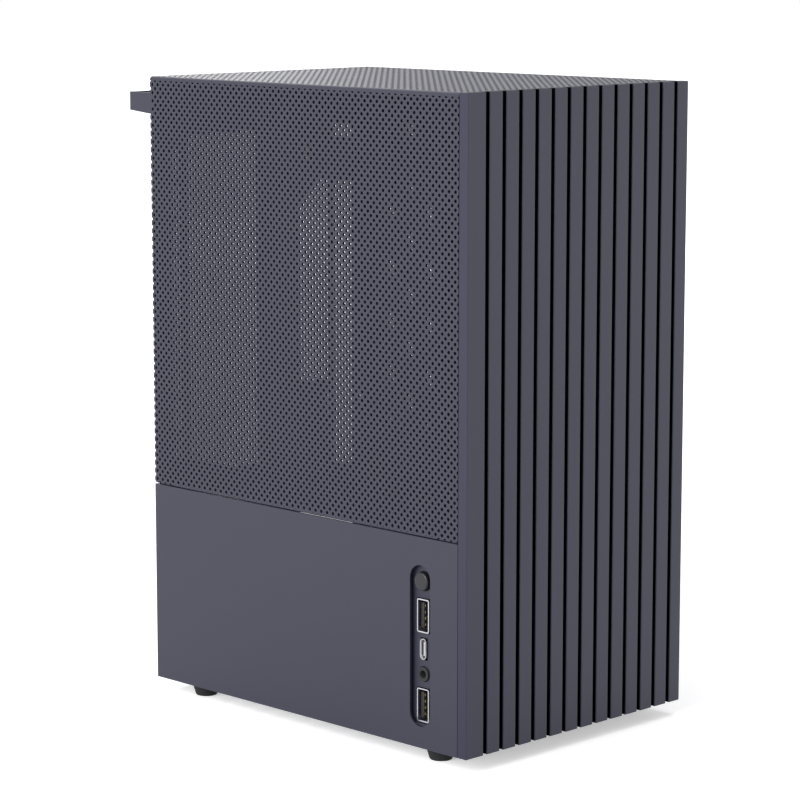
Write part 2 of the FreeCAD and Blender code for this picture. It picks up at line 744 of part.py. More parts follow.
def bottom_tray():
    """Floor of the case: rows of round-ended slots, with a low flange turned up at each side."""
    body = new_body("bottom_tray")
    bottom = "(ground_gap + floor_lift)"
    outline = new_sketch(body, "bottom_tray_outline", "XY_Plane", bottom)
    add_box_outline(outline, (mirror(FRAME_SIDE), WEB_FRONT), (FRAME_SIDE, WEB_REAR))
    pad(body, outline, "bottom_tray_floor", "sheet_thick")
    doc.recompute()
    start, end = f"{WEB_FRONT} + floor_flange_inset", f"{WEB_REAR} - floor_flange_inset"
    inner = f"({FRAME_SIDE} - sheet_thick)"
    top = f"({bottom} + floor_flange_tall)"
    box(body, "bottom_tray_flange_left", (mirror(FRAME_SIDE), start, bottom), (mirror(inner), end, top))
    box(body, "bottom_tray_flange_right", (inner, start, bottom), (FRAME_SIDE, end, top))
    doc.recompute()
    middle = f"{bottom} + sheet_thick / 2"
    half = "floor_slot_wide / 2"
    for column in range(3):
        left = f"floor_slot_side + {column} * floor_slot_step"
        slot = new_sketch(body, f"floor_slot_{column}", "XY_Plane", middle)
        row = place("floor_slot_place + floor_slot_pitch")
        add_stadium(slot, (from_left(f"{left} + {half}"), row),
                    (from_left(f"{left} + floor_slot_long - {half}"), row), half)
        slot_cut = cut(body, slot, f"floor_slot_cut_{column}", "3 * sheet_thick")
        doc.recompute()
        repeat(body, slot_cut, f"floor_slots_{column}", [("Y", "floor_slot_pitch", 11)])
        doc.recompute()
    first = new_sketch(body, "floor_first_slots", "XY_Plane", middle)
    row = place("floor_slot_place")
    for begin, finish in (("foot_side + 8.4", "floor_slot_side + floor_slot_long"),
                          ("floor_slot_side + floor_slot_step",
                           "floor_slot_side + floor_slot_step + floor_slot_long"),
                          ("floor_slot_side + 2 * floor_slot_step",
                           "floor_slot_side + 2 * floor_slot_step + 21.6")):
        add_stadium(first, (from_left(f"{begin} + {half}"), row),
                    (from_left(f"{finish} - {half}"), row), half)
    cut(body, first, "floor_first_slot_cuts", "3 * sheet_thick")
    inner_hole = from_left("floor_hole_inner_side")
    spare_row = floor_screw_places()[0][1]
    drill(body, "floor_holes", "XY_Plane", middle,
          foot_places() + [(inner_hole, spare_row), (mirror(inner_hole), spare_row)], "screw_hole_radius")
    drill(body, "floor_sinks", "XY_Plane", middle, floor_screw_places(), "sink_radius + sink_gap")
    drill(body, "floor_port", "XY_Plane", middle, [port_screw_place()], "shank_radius + shank_gap")
    return body


def foot_places():
    left, right = from_left("foot_side"), mirror(from_left("foot_side"))
    front, rear = place("foot_front_place"), place("foot_rear_place")
    return [(left, front), (right, front), (left, rear), (right, rear)]


def floor_screw_places():
    left, right = from_left("floor_hole_side"), mirror(from_left("floor_hole_side"))
    front = f"({WEB_FRONT} + front_flange_deep / 2 + 0.6)"
    rear = f"({WEB_REAR} - rear_flange_deep / 2 - 0.6)"
    return [(left, front), (right, front), (left, rear), (right, rear)]


def bracket_screw_places():
    outer = from_left("bracket_hole_side")
    inner = from_left("bracket_hole_side + bracket_hole_step")
    front = f"({WEB_FRONT} + front_flange_deep / 2 + 0.6)"
    rear = f"({WEB_REAR} - rear_flange_deep / 2 - 0.6)"
    return [(outer, front), (inner, front), (mirror(inner), front), (mirror(outer), front),
            (outer, rear), (mirror(outer), rear)]


def top_bracket():
    """Flat frame on top of the posts: six windows between narrow bars, flanges turned down."""
    body = new_body("top_bracket")
    side = f"({SIDE} - bracket_side_gap)"
    outline = new_sketch(body, "top_bracket_outline", "XY_Plane", FRAME_TOP)
    add_box_outline(outline, (mirror(side), WEB_FRONT), (side, WEB_REAR))
    pad(body, outline, "top_bracket_plate", "sheet_thick")
    doc.recompute()
    start, end = f"{WEB_FRONT} + floor_flange_inset", f"{WEB_REAR} - floor_flange_inset"
    low, high = f"{FRAME_TOP} + sheet_thick - bracket_flange_tall", f"{FRAME_TOP} + sheet_thick"
    inner = f"({side} - sheet_thick)"
    box(body, "top_bracket_flange_left", (mirror(side), start, low), (mirror(inner), end, high))
    box(body, "top_bracket_flange_right", (inner, start, low), (side, end, high))
    doc.recompute()
    edge = f"({side} - bracket_side_border)"
    first_row = f"({WEB_FRONT} + bracket_border)"
    row_step = f"(({WEB_REAR} - {WEB_FRONT} - 2 * bracket_border + bracket_bar) / 3)"
    window = box(body, "top_bracket_window", (mirror(edge), first_row, f"{FRAME_TOP} - 1"),
                 ("-bracket_bar / 2", f"{first_row} + {row_step} - bracket_bar",
                  f"{FRAME_TOP} + sheet_thick + 1"), "Subtractive")
    doc.recompute()
    repeat(body, window, "top_bracket_windows",
           [("X", f"({edge} + bracket_bar / 2)", 2), ("Y", row_step, 3)])
    doc.recompute()
    drill(body, "top_bracket_sinks", "XY_Plane", f"{FRAME_TOP} + sheet_thick / 2",
          bracket_screw_places(), "sink_radius + sink_gap")
    return body


def mesh_cover():
    """Lift-off cover: two walls and a top folded from one sheet, with hems and end returns."""
    body = new_body("mesh_cover")
    low, high = level("cover_level"), level("case_tall")
    inner = f"({SIDE} - skin_thick)"
    front, rear = f"({FRONT} + panel_thick + slide_gap)", REAR
    outline = new_sketch(body, "mesh_cover_outline", "XZ_Plane", rear)
    add_outline(outline, [
        (mirror(SIDE), low), (mirror(inner), low), (mirror(inner), f"{high} - skin_thick"),
        (inner, f"{high} - skin_thick"), (inner, low), (SIDE, low), (SIDE, high), (mirror(SIDE), high)])
    shell = pad(body, outline, "mesh_cover_shell", f"{rear} - {front}")
    doc.recompute()
    folds = []
    for index, edge in enumerate(shell.Shape.Edges, start=1):
        middle = edge.BoundBox.Center
        if abs(edge.BoundBox.ZMax - number(high)) > 0.01 or edge.BoundBox.ZLength > 0.01:
            continue
        if edge.BoundBox.YLength > 1 and abs(abs(middle.x) - number(SIDE)) < 0.01:
            folds.append(f"Edge{index}")
    bend = body.newObject("PartDesign::Fillet", "mesh_cover_bends")
    bend.Base = (shell, folds)
    bend.setExpression("Radius", size("cover_bend"))
    body.Tip = bend
    doc.recompute()
    hem_inner = f"({inner} - skin_thick)"
    start, end = f"({front} + cover_hem_inset)", f"({rear} - cover_hem_inset)"
    hem_top = f"({low} + cover_hem_tall)"
    box(body, "mesh_cover_hem_left", (mirror(inner), start, low), (mirror(hem_inner), end, hem_top))
    box(body, "mesh_cover_hem_right", (hem_inner, start, low), (inner, end, hem_top))
    roof = f"({high} - skin_thick)"
    fold_low = f"({high} - cover_top_return)"
    for word, y, wide in (("front", front, "cover_return_front"),
                          ("rear", f"({rear} - skin_thick)", "cover_return_rear")):
        y_end = f"{y} + skin_thick"
        box(body, f"mesh_cover_{word}_left", (mirror(inner), y, low),
            (f"{wide} - {SIDE}", y_end, f"{fold_low} - cover_fold_gap"))
        box(body, f"mesh_cover_{word}_right", (f"{SIDE} - {wide}", y, low),
            (inner, y_end, f"{fold_low} - cover_fold_gap"))
        box(body, f"mesh_cover_{word}_top", (f"skin_thick + cover_fold_gap - {inner}", y, fold_low),
            (f"{inner} - skin_thick - cover_fold_gap", y_end, roof))
    doc.recompute()
    return body


def lower_panel(label, sign, has_slot):
    """Plain lower side panel with a short return at each end; the left one has the port slot."""
    body = new_body(label)
    outer = f"({sign} * {SIDE})"
    inner = f"({sign} * ({SIDE} - skin_thick))"
    x_low, x_high = (outer, inner) if sign < 0 else (inner, outer)
    front, rear = f"({FRONT} + panel_thick + slide_gap)", REAR
    outline = new_sketch(body, f"{label}_outline", "YZ_Plane", x_low)
    add_box_outline(outline, (front, level("0")), (rear, level("side_panel_tall")))
    if has_slot:
        half = "port_slot_wide / 2"
        add_stadium(outline, (place("port_slot_place"), level(f"port_slot_low_level + {half}")),
                    (place("port_slot_place"), level(f"port_slot_high_level - {half}")), half)
    pad(body, outline, f"{label}_sheet", "skin_thick")
    doc.recompute()
    edge = f"({sign} * ({SIDE} - side_return))"
    fold_low, fold_high = (x_high, edge) if sign < 0 else (edge, x_low)
    for word, y in (("front", front), ("rear", f"({rear} - skin_thick)")):
        box(body, f"{label}_{word}_return", (fold_low, y, level("0")),
            (fold_high, f"{y} + skin_thick", level("side_panel_tall")))
    doc.recompute()
    drill(body, f"{label}_nuts", "YZ_Plane", inner, side_screw_places(), "shank_radius + shank_gap",
          "2 * side_nut_deep")
    return body


def side_screw_places():
    places = (f"{WEB_FRONT} + side_hole_place", SIDE_HOLE_REAR)
    heights = ("side_hole_low_level", "side_hole_high_level")
    return [(y, level(height)) for y in places for height in heights]


def rear_top_rail():
    """Shallow rail that stands off the rear of the case, screwed on through a lip at each end."""
    body = new_body("rear_top_rail")
    half = f"({SIDE} - rail_inset)"
    low, high = level("rail_low_level"), level("rail_low_level + rail_tall")
    web_low = level("rail_low_level + rail_tall - rail_web_tall")
    front = f"({REAR} + slide_gap)"
    rear = f"({front} + rail_reach)"
    box(body, "rear_top_rail_web", (mirror(half), f"{rear} - sheet_thick", web_low), (half, rear, high))
    for word, x_low, x_high in (("left", mirror(half), f"sheet_thick - {half}"),
                                ("right", f"{half} - sheet_thick", half)):
        arm = new_sketch(body, f"rear_top_rail_arm_{word}", "YZ_Plane", x_low)
        add_outline(arm, [(front, low), (rear, web_low), (rear, high), (front, high)])
        pad(body, arm, f"rear_top_rail_arm_pad_{word}", "sheet_thick")
    box(body, "rear_top_rail_lip_left", (mirror(half), front, low),
        (f"rail_lip - {half}", f"{front} + sheet_thick", high))
    box(body, "rear_top_rail_lip_right", (f"{half} - rail_lip", front, low),
        (half, f"{front} + sheet_thick", high))
    doc.recompute()
    bosses = new_sketch(body, "rear_top_rail_boss_rings", "XZ_Plane", f"{front} + sheet_thick / 2")
    add_circles(bosses, rail_screw_places(), "rail_boss_radius")
    pad(body, bosses, "rear_top_rail_bosses", f"{front} + sheet_thick / 2 - {WEB_REAR}")
    doc.recompute()
    drill(body, "rear_top_rail", "XZ_Plane", f"{front}", rail_screw_places(),
          "shank_radius + shank_gap", "8 * sheet_thick")
    return body


def slot_clamp():
    """Hooded clamp over the ends of the expansion cards, held by one screw in its lower tab."""
    body = new_body("slot_clamp")
    left, right = f"({CLAMP_MIDDLE} - clamp_wide / 2)", f"({CLAMP_MIDDLE} + clamp_wide / 2)"
    tab_left, tab_right = f"({CLAMP_MIDDLE} - clamp_tab_wide / 2)", f"({CLAMP_MIDDLE} + clamp_tab_wide / 2)"
    low, high, tab_low = level("clamp_low_level"), level("clamp_high_level"), level("clamp_tab_low_level")
    face = f"({WEB_REAR} - sheet_thick)"
    outline = new_sketch(body, "slot_clamp_outline", "XZ_Plane", WEB_REAR)
    add_outline(outline, [(left, low), (f"{tab_left} - clamp_tab_cut", low), (tab_left, f"{low} - clamp_tab_cut"),
                          (tab_left, tab_low), (tab_right, tab_low), (tab_right, f"{low} - clamp_tab_cut"),
                          (f"{tab_right} + clamp_tab_cut", low), (right, low), (right, high), (left, high)])
    half = "clamp_tab_wide / 7"
    add_stadium(outline, (CLAMP_MIDDLE, level("clamp_hole_level - clamp_hole_drop")),
                (CLAMP_MIDDLE, level("clamp_hole_level + clamp_hole_rise")), half)
    pad(body, outline, "slot_clamp_plate", "sheet_thick")
    doc.recompute()
    hood_end = f"({face} + clamp_hood_deep)"
    box(body, "slot_clamp_hood", (left, face, f"{high} - sheet_thick"), (right, hood_end, high))
    box(body, "slot_clamp_lip", (left, f"{hood_end} - sheet_thick", f"{high} - clamp_lip_tall"),
        (right, hood_end, high))
    return body


def port_opening(body, name, middle_level, tall, wide):
    """An opening of the port plate, as large as its connector with a clearance all round."""
    middle = place("port_slot_place")
    box(body, name,
        (f"{PORT_SIDE} - 1", f"{middle} - {wide} / 2 - port_clearance",
         level(f"{middle_level} - {tall} / 2 - port_clearance")),
        (f"{PORT_SIDE} + port_plate_thick + 1", f"{middle} + {wide} / 2 + port_clearance",
         level(f"{middle_level} + {tall} / 2 + port_clearance")), "Subtractive")


def io_bracket():
    """Folded holder of the port board: a face behind the slot, a wall behind the board, a foot."""
    body = new_body("io_bracket")
    front, rear = place("port_plate_front"), place("port_plate_rear")
    low, high = level("port_plate_low_level"), level("port_plate_high_level")
    thick = "port_plate_thick"
    depth = f"({PORT_SIDE} + port_wall_deep)"
    box(body, "io_bracket_face", (PORT_SIDE, front, low), (f"{PORT_SIDE} + {thick}", rear, high))
    box(body, "io_bracket_wall", (PORT_SIDE, f"{rear} - {thick}", FLOOR_TOP),
        (depth, rear, level("port_ear_level")))
    box(body, "io_bracket_foot", (PORT_SIDE, f"{rear} - {thick}", FLOOR_TOP),
        (depth, f"{rear} + port_foot_deep", f"{FLOOR_TOP} + {thick}"))
    doc.recompute()
    for name, height in (("io_bracket_usb_high", "usb_high_level"), ("io_bracket_usb_low", "usb_low_level")):
        port_opening(body, name, height, "usb_tall", "usb_wide")
    port_opening(body, "io_bracket_usb_c", "usb_c_level", "usb_c_tall", "usb_c_wide")
    doc.recompute()
    face = f"{PORT_SIDE} + {thick} / 2"
    drill(body, "io_bracket_jack", "YZ_Plane", face, [(place("port_slot_place"), level("jack_level"))],
          "jack_radius + port_clearance")
    drill(body, "io_bracket_button", "YZ_Plane", face, [(place("port_slot_place"), level("button_level"))],
          "button_radius + port_clearance")
    drill(body, "io_bracket_board", "XZ_Plane", f"{rear} - {thick} / 2", board_screw_places(),
          "board_screw_radius + shank_gap")
    drill(body, "io_bracket_foot", "XY_Plane", f"{FLOOR_TOP} + {thick} / 2", [port_screw_place()],
          "screw_hole_radius")
    return body


def port_screw_place():
    """Screw that holds the port bracket's foot to the floor."""
    return (f"({PORT_SIDE} + port_wall_deep - port_screw_inset)", place("port_plate_rear + port_foot_deep / 2"))


BOARD_REAR = f"({FRONT} + port_plate_rear - port_plate_thick)"
BOARD_FRONT = f"({FRONT} + port_plate_rear - port_plate_thick - board_thick)"
BOARD_LEFT = f"({PORT_SIDE} + port_plate_thick + port_block_gap)"
MOUTH = f"({PORT_SIDE} - port_mouth_reach)"


def board_screw_places():
    x = f"({BOARD_LEFT} + port_board_wide - 2.6)"
    return [(x, level("port_board_low_level + 3")), (x, level("port_board_high_level - 3"))]


def io_board():
    """Circuit board that carries the ports and the switch, flat against the bracket's wall."""
    body = new_body("io_board")
    outline = new_sketch(body, "io_board_outline", "XZ_Plane", BOARD_REAR)
    add_box_outline(outline, (BOARD_LEFT, level("port_board_low_level")),
                    (f"{BOARD_LEFT} + port_board_wide", level("port_board_high_level")))
    add_circles(outline, board_screw_places(), "board_screw_radius + shank_gap")
    pad(body, outline, "io_board_plate", "board_thick")
    return body


def usb_port(label, height):
    """Upright socket: an open shell with a contact tongue inside."""
    body = new_body(label)
    middle = place("port_slot_place")
    low = (MOUTH, f"{middle} - usb_wide / 2", level(f"{height} - usb_tall / 2"))
    high = (f"{MOUTH} + usb_deep", f"{middle} + usb_wide / 2", level(f"{height} + usb_tall / 2"))
    box(body, f"{label}_shell", low, high)
    box(body, f"{label}_base", (BOARD_LEFT, middle, low[2]), (high[0], BOARD_FRONT, high[2]))
    doc.recompute()
    box(body, f"{label}_mouth",
        (f"{MOUTH} - 1", f"{middle} - usb_wide / 2 + usb_wall", f"{low[2]} + usb_wall"),
        (f"{MOUTH} + usb_deep - usb_back_wall", f"{middle} + usb_wide / 2 - usb_wall", f"{high[2]} - usb_wall"),
        "Subtractive")
    doc.recompute()
    side = f"{middle} + usb_tongue_side"
    box(body, f"{label}_tongue", (f"{MOUTH} + usb_tongue_front", side, f"{low[2]} + usb_tongue_end"),
        (f"{MOUTH} + usb_deep - usb_tongue_back", f"{side} + usb_tongue_thick",
         f"{high[2]} - usb_tongue_end"))
    return body


def usb_c_port():
    """Small oval socket with its thin tongue."""
    body = new_body("usb_c_port")
    middle = place("port_slot_place")
    height = "usb_c_level"
    reach = "(usb_c_tall - usb_c_wide) / 2"
    outline = new_sketch(body, "usb_c_port_outline", "YZ_Plane", MOUTH)
    add_stadium(outline, (middle, level(f"{height} - {reach}")), (middle, level(f"{height} + {reach}")),
                "usb_c_wide / 2")
    pad(body, outline, "usb_c_port_shell", "usb_deep - usb_c_back")
    doc.recompute()
    mouth = new_sketch(body, "usb_c_port_mouth", "YZ_Plane", MOUTH)
    add_stadium(mouth, (middle, level(f"{height} - {reach}")), (middle, level(f"{height} + {reach}")),
                "usb_c_wide / 2 - usb_c_wall")
    cut(body, mouth, "usb_c_port_mouth_cut", "2 * (usb_deep - usb_c_mouth_back)")
    doc.recompute()
    box(body, "usb_c_port_tongue",
        (f"{MOUTH} + usb_c_tongue_front", f"{middle} - usb_c_tongue_half",
         level(f"{height} - {reach} - usb_c_tongue_end")),
        (f"{MOUTH} + usb_deep - usb_c_tongue_back", f"{middle} + usb_c_tongue_half",
         level(f"{height} + {reach} + usb_c_tongue_end")))
    box(body, "usb_c_port_seat",
        (f"{MOUTH} + usb_c_seat_front", f"{middle} + usb_c_wide / 2 - usb_c_seat_sink",
         level(f"{height} - {reach}")),
        (f"{MOUTH} + usb_deep - usb_c_back", BOARD_FRONT, level(f"{height} + {reach}")))
    return body


def audio_jack():
    """Round headphone socket on a square block."""
    body = new_body("audio_jack")
    middle = place("port_slot_place")
    height = level("jack_level")
    block = f"({PORT_SIDE} + port_plate_thick + port_block_gap)"
    box(body, "audio_jack_block", (block, f"{middle} - jack_radius", f"{height} - jack_radius"),
        (f"{block} + jack_block_deep", BOARD_FRONT, f"{height} + jack_radius"))
    doc.recompute()
    ring = new_sketch(body, "audio_jack_ring", "YZ_Plane", MOUTH)
    add_circles(ring, [(middle, height)], "jack_radius")
    pad(body, ring, "audio_jack_collar", f"{block} + 1 - {MOUTH}")
    doc.recompute()
    drill(body, "audio_jack_bore", "YZ_Plane", MOUTH, [(middle, height)], "jack_bore", "2 * jack_bore_deep")
    return body


BUTTON_FACE = "(-case_wide / 2 + button_inset)"
BUTTON_BACK = f"({BUTTON_FACE} + button_deep)"
SWITCH_FACE = f"({BUTTON_BACK} + button_travel_gap)"


def power_button():
    """Round push button with a domed edge and a stem towards the switch."""
    body = new_body("power_button")
    centre = (place("port_slot_place"), level("button_level"))
    cap = new_sketch(body, "power_button_cap_ring", "YZ_Plane", BUTTON_FACE)
    add_circles(cap, [centre], "button_radius")
    cap_pad = pad(body, cap, "power_button_cap", "button_deep")
    doc.recompute()
    rims = []
    for index, edge in enumerate(cap_pad.Shape.Edges, start=1):
        if edge.BoundBox.XLength < 0.01 and abs(edge.BoundBox.XMin - number(BUTTON_FACE)) < 0.01:
            rims.append(f"Edge{index}")
    dome = body.newObject("PartDesign::Fillet", "power_button_dome")
    dome.Base = (cap_pad, rims)
    dome.setExpression("Radius", size("button_dome"))
    body.Tip = dome
    doc.recompute()
    stem = new_sketch(body, "power_button_stem_ring", "YZ_Plane", BUTTON_BACK)
    add_circles(stem, [centre], "button_stem_radius")
    pad(body, stem, "power_button_stem", "button_travel_gap + button_stem_reach")
    return body


def button_switch():
    """Small square switch on the board, with a bore that the button's stem is guided in."""
    body = new_body("button_switch")
    middle = place("port_slot_place")
    height = level("button_level")
    half = "switch_wide / 2"
    box(body, "button_switch_block", (SWITCH_FACE, f"{middle} - {half}", f"{height} - {half}"),
        (f"{SWITCH_FACE} + switch_deep", BOARD_FRONT, f"{height} + {half}"))
    doc.recompute()
    drill(body, "button_switch_bore", "YZ_Plane", SWITCH_FACE, [(middle, height)],
          "button_stem_radius + button_stem_gap", "2 * switch_bore_deep")
    return body


def foot(label, spot):
    """Tapered rubber foot with a straight rim at its top and a sunk hole for its screw."""
    body = new_body(label)
    profile = new_sketch(body, f"{label}_profile", "XZ_Plane", "0")
    top = "ground_gap + floor_lift"
    bore = "shank_radius + shank_gap"
    add_outline(profile, [
        (bore, "foot_sink_deep"), (bore, top), ("foot_top_radius", top),
        ("foot_top_radius", f"{top} - foot_rim_tall"), ("foot_base_radius", "0"),
        ("foot_sink_radius", "0"), ("foot_sink_radius", "foot_sink_deep")])
    turn = body.newObject("PartDesign::Revolution", f"{label}_turned")
    turn.Profile = profile
    turn.ReferenceAxis = (profile, ["V_Axis"])
    turn.Angle = 360
    body.Tip = turn
    body.setExpression("Placement.Base.x", size(spot[0]))
    body.setExpression("Placement.Base.y", size(spot[1]))
    return body


# Fasteners. A group of like screws is one sub-part, made of separate solids.

def turned(profile):
    """A solid of revolution about Z from a half profile of radius and height."""
    points = [FreeCAD.Vector(radius, 0, height) for radius, height in profile]
    return Part.Face(Part.makePolygon(points + points[:1])).revolve(
        FreeCAD.Vector(0, 0, 0), FreeCAD.Vector(0, 0, 1), 360)


def pan_screw(reach, head="head_radius", tall="head_tall", thin="shank_radius"):
    """Round-headed screw with its seat at zero, its head above and its shank below."""
    radius, height, shank = number(head), number(tall), number(thin)
    return turned([(0, -reach), (shank, -reach), (shank, 0), (radius, 0), (radius, height * 0.6),
                   (radius * 0.75, height), (radius * 0.4, height), (radius * 0.4, height * 0.4),
                   (0, height * 0.4)])


def flat_screw(reach):
    """Flat-headed screw whose head fills its sink and ends level at zero."""
    radius, sink, shank = number("sink_radius"), number("sink_deep"), number("shank_radius")
    return turned([(0, -reach), (shank, -reach), (shank, -sink), (radius, -0.2), (radius, 0),
                   (radius * 0.4, 0), (radius * 0.4, -sink * 0.5), (0, -sink * 0.5)])


DIRECTIONS = {
    "up": FreeCAD.Rotation(),
    "down": FreeCAD.Rotation(FreeCAD.Vector(1, 0, 0), 180),
    "front": FreeCAD.Rotation(FreeCAD.Vector(1, 0, 0), 90),
    "rear": FreeCAD.Rotation(FreeCAD.Vector(1, 0, 0), -90),
    "left": FreeCAD.Rotation(FreeCAD.Vector(0, 1, 0), -90),
    "right": FreeCAD.Rotation(FreeCAD.Vector(0, 1, 0), 90),
}


def group(label, spots):
    """A sub-part of like solids: each spot is a solid, the way its head points, and its place."""
    solids = []
    for solid, way, corner in spots:
        copy = solid.copy()
        copy.Placement = FreeCAD.Placement(FreeCAD.Vector(*[number(text) for text in corner]),
                                           DIRECTIONS[way])
        solids.append(copy)
    item = doc.addObject("Part::Feature", label)
    item.Label = label
    item.Shape = Part.makeCompound(solids) if len(solids) > 1 else solids[0]
    return item


def standoffs():
    """Four threaded spacers that stand on the tray and carry the board."""
    tall, radius, bore = number("standoff_tall"), number("standoff_radius"), number("standoff_bore")
    seat = number("sheet_thick")
    spacer = turned([(bore, 1.5), (bore, tall), (radius, tall), (radius, 0), (bore - 0.05, 0),
                     (bore - 0.05, -seat), (0, -seat), (0, 1.5)])
    return group("standoffs", [(spacer, "left", (TRAY_FACE, y, z)) for y, z in standoff_places()])


def screw_groups():
    thick = number("sheet_thick")
    gap = number("skin_thick + 2 * slide_gap")
    web_back = f"{WEB_FRONT} + sheet_thick"
    group("panel_screws", [(pan_screw(thick + gap), "rear", (x, web_back, z))
                           for x, z in panel_screw_places()])
    inner = f"({FRAME_SIDE} - sheet_thick)"
    side_screw = pan_screw(thick + number("slide_gap + side_nut_deep - side_nut_gap"))
    group("side_panel_screws", [(side_screw, way, (x, y, z)) for y, z in side_screw_places()
                                for way, x in (("right", mirror(inner)), ("left", inner))])
    roof = f"{FRAME_TOP} + sheet_thick"
    group("top_screws", [(flat_screw(number("2 * sheet_thick + screw_past")), "up", (x, y, roof))
                         for x, y in bracket_screw_places()])
    underside = "ground_gap + floor_lift"
    group("floor_screws", [(flat_screw(number("2 * sheet_thick + screw_past")), "down", (x, y, underside))
                           for x, y in floor_screw_places()])
    foot_reach = number(f"{FLOOR_TOP} - foot_sink_deep + screw_past")
    group("foot_screws", [(pan_screw(foot_reach), "down", (x, y, "foot_sink_deep"))
                          for x, y in foot_places()])
    port_screw = pan_screw(thick + number("port_plate_thick"), "board_head_radius", "board_head_tall")
    group("port_bracket_screw", [(port_screw, "up", port_screw_place() + (f"{FLOOR_TOP} + port_plate_thick",))])
    rear_inside = f"{WEB_REAR} - sheet_thick"
    rail_screw = pan_screw(number("2 * sheet_thick + skin_thick + 2 * slide_gap + screw_past"),
                           "thumb_radius", "thumb_tall")
    group("rail_screws", [(rail_screw, "front", (x, rear_inside, z)) for x, z in rail_screw_places()])
    plate_front = f"{WEB_REAR} - 2 * sheet_thick"
    group("io_plate_screws", [(pan_screw(2 * thick), "front", (x, plate_front, z))
                              for x, z in plate_screw_places()])
    tray_spots = [(pan_screw(2 * thick), "front", (x, f"{TRAY_REAR} - sheet_thick", z))
                  for x, z in tray_screw_places()]
    tray_spots.append((pan_screw(2 * thick), "rear",
                       (TRAY_TAB_HOLE, f"{web_back} + sheet_thick", level("tray_tab_hole_level"))))
    group("tray_screws", tray_spots)
    group("clamp_screw", [(pan_screw(2 * thick + 1), "rear",
                           (CLAMP_MIDDLE, WEB_REAR, level("clamp_hole_level")))])
    board_screw = pan_screw(number("board_thick + port_plate_thick"), "board_head_radius",
                            "board_head_tall", "board_screw_radius")
    group("io_board_screws", [(board_screw, "front", (x, BOARD_FRONT, z)) for x, z in board_screw_places()])


front_panel()
front_frame()
rear_frame()
rear_io_plate()
motherboard_tray()
standoffs()
bottom_tray()
top_bracket()
mesh_cover()
lower_panel("lower_panel_left", -1, True)
lower_panel("lower_panel_right", 1, False)
rear_top_rail()
slot_clamp()
io_bracket()
io_board()
usb_port("usb_port_upper", "usb_high_level")
usb_port("usb_port_lower", "usb_low_level")
usb_c_port()
audio_jack()
power_button()
button_switch()
for foot_label, foot_spot in zip(("foot_front_left", "foot_front_right", "foot_rear_left",
                                  "foot_rear_right"), foot_places()):
    foot(foot_label, foot_spot)
screw_groups()
doc.recompute()

# Every object must be sound before anything is written.
for item in doc.Objects:
    if "Invalid" in item.State or "Error" in item.State:
        raise RuntimeError(f"{item.Label} failed: {item.State}")

os.makedirs("parts", exist_ok=True)
for item in doc.Objects:
    if item.TypeId not in ("PartDesign::Body", "Part::Feature"):
        continue
    if item.Shape.isNull() or not item.Shape.isValid():
        raise RuntimeError(f"{item.Label} has no valid shape")
    item.Shape.exportStep(f"parts/{item.Label}.step")
    print(item.Label, len(item.Shape.Solids), round(item.Shape.Volume, 1))
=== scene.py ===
# %% [markdown]
# # A compact upright computer case
# A small computer case is a good subject for learning hard surfaces: folded sheet metal, one thick
# slatted front, and a cover with thousands of small holes. The measured model comes first. It is
# loaded as a fixed frame, and every new piece is made in its place and at its real size, in metres.

# %% Load the measured model
import json
import math
import bpy
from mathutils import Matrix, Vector


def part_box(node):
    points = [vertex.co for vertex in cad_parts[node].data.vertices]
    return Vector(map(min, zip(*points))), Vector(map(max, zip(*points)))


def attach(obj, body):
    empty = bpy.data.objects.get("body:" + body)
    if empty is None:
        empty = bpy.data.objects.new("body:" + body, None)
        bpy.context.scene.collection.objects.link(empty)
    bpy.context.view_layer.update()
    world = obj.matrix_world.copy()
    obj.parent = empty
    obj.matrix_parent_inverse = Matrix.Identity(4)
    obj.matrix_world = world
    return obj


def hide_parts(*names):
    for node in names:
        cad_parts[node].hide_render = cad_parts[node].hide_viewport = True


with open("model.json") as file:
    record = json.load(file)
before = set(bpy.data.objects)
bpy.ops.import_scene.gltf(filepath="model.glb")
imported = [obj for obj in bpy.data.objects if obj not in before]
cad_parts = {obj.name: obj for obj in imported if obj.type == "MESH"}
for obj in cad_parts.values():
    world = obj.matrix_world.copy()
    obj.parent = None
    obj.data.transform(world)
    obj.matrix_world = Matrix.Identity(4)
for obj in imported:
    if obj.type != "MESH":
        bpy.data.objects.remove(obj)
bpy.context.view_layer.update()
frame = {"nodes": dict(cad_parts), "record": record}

nodes = frame["nodes"]
MM = 0.001

# %% [markdown]
# ## The camera
# The case is seen from its front left corner, 45 degrees round and 9 degrees up. A real product
# photographer stands well back with a long lens, so that upright edges stay upright. The same can be
# had with a short lens close by, but then the near corner bulges. The long lens is used here.

# %% Camera
AIM = Vector((0.0, 0.0, 0.1405))
AROUND, UP, AWAY = math.radians(45.0), math.radians(9.1), 1.33
toward = Vector((-math.cos(UP) * math.sin(AROUND), -math.cos(UP) * math.cos(AROUND), math.sin(UP)))
camera_data = bpy.data.cameras.new("studio_camera")
camera_data.lens = 131.0
camera = bpy.data.objects.new("studio_camera", camera_data)
camera.location = AIM + toward * AWAY
camera.rotation_euler = (-toward).to_track_quat("-Z", "Y").to_euler()
bpy.context.scene.collection.objects.link(camera)
bpy.context.scene.camera = camera
bpy.context.scene.view_settings.view_transform = "Standard"
print("camera at", [round(value, 3) for value in camera.location])

# %% [markdown]
# ## Arithmetic on shader sockets
# A material is a graph of nodes. Wiring each sum by hand soon hides the idea, so a small class wraps a
# socket and lets plain Python write the sums: `1 - mask * 0.3` adds its own Math nodes. The other way
# is to click the graph together, which suits a single material but not a family of finishes.

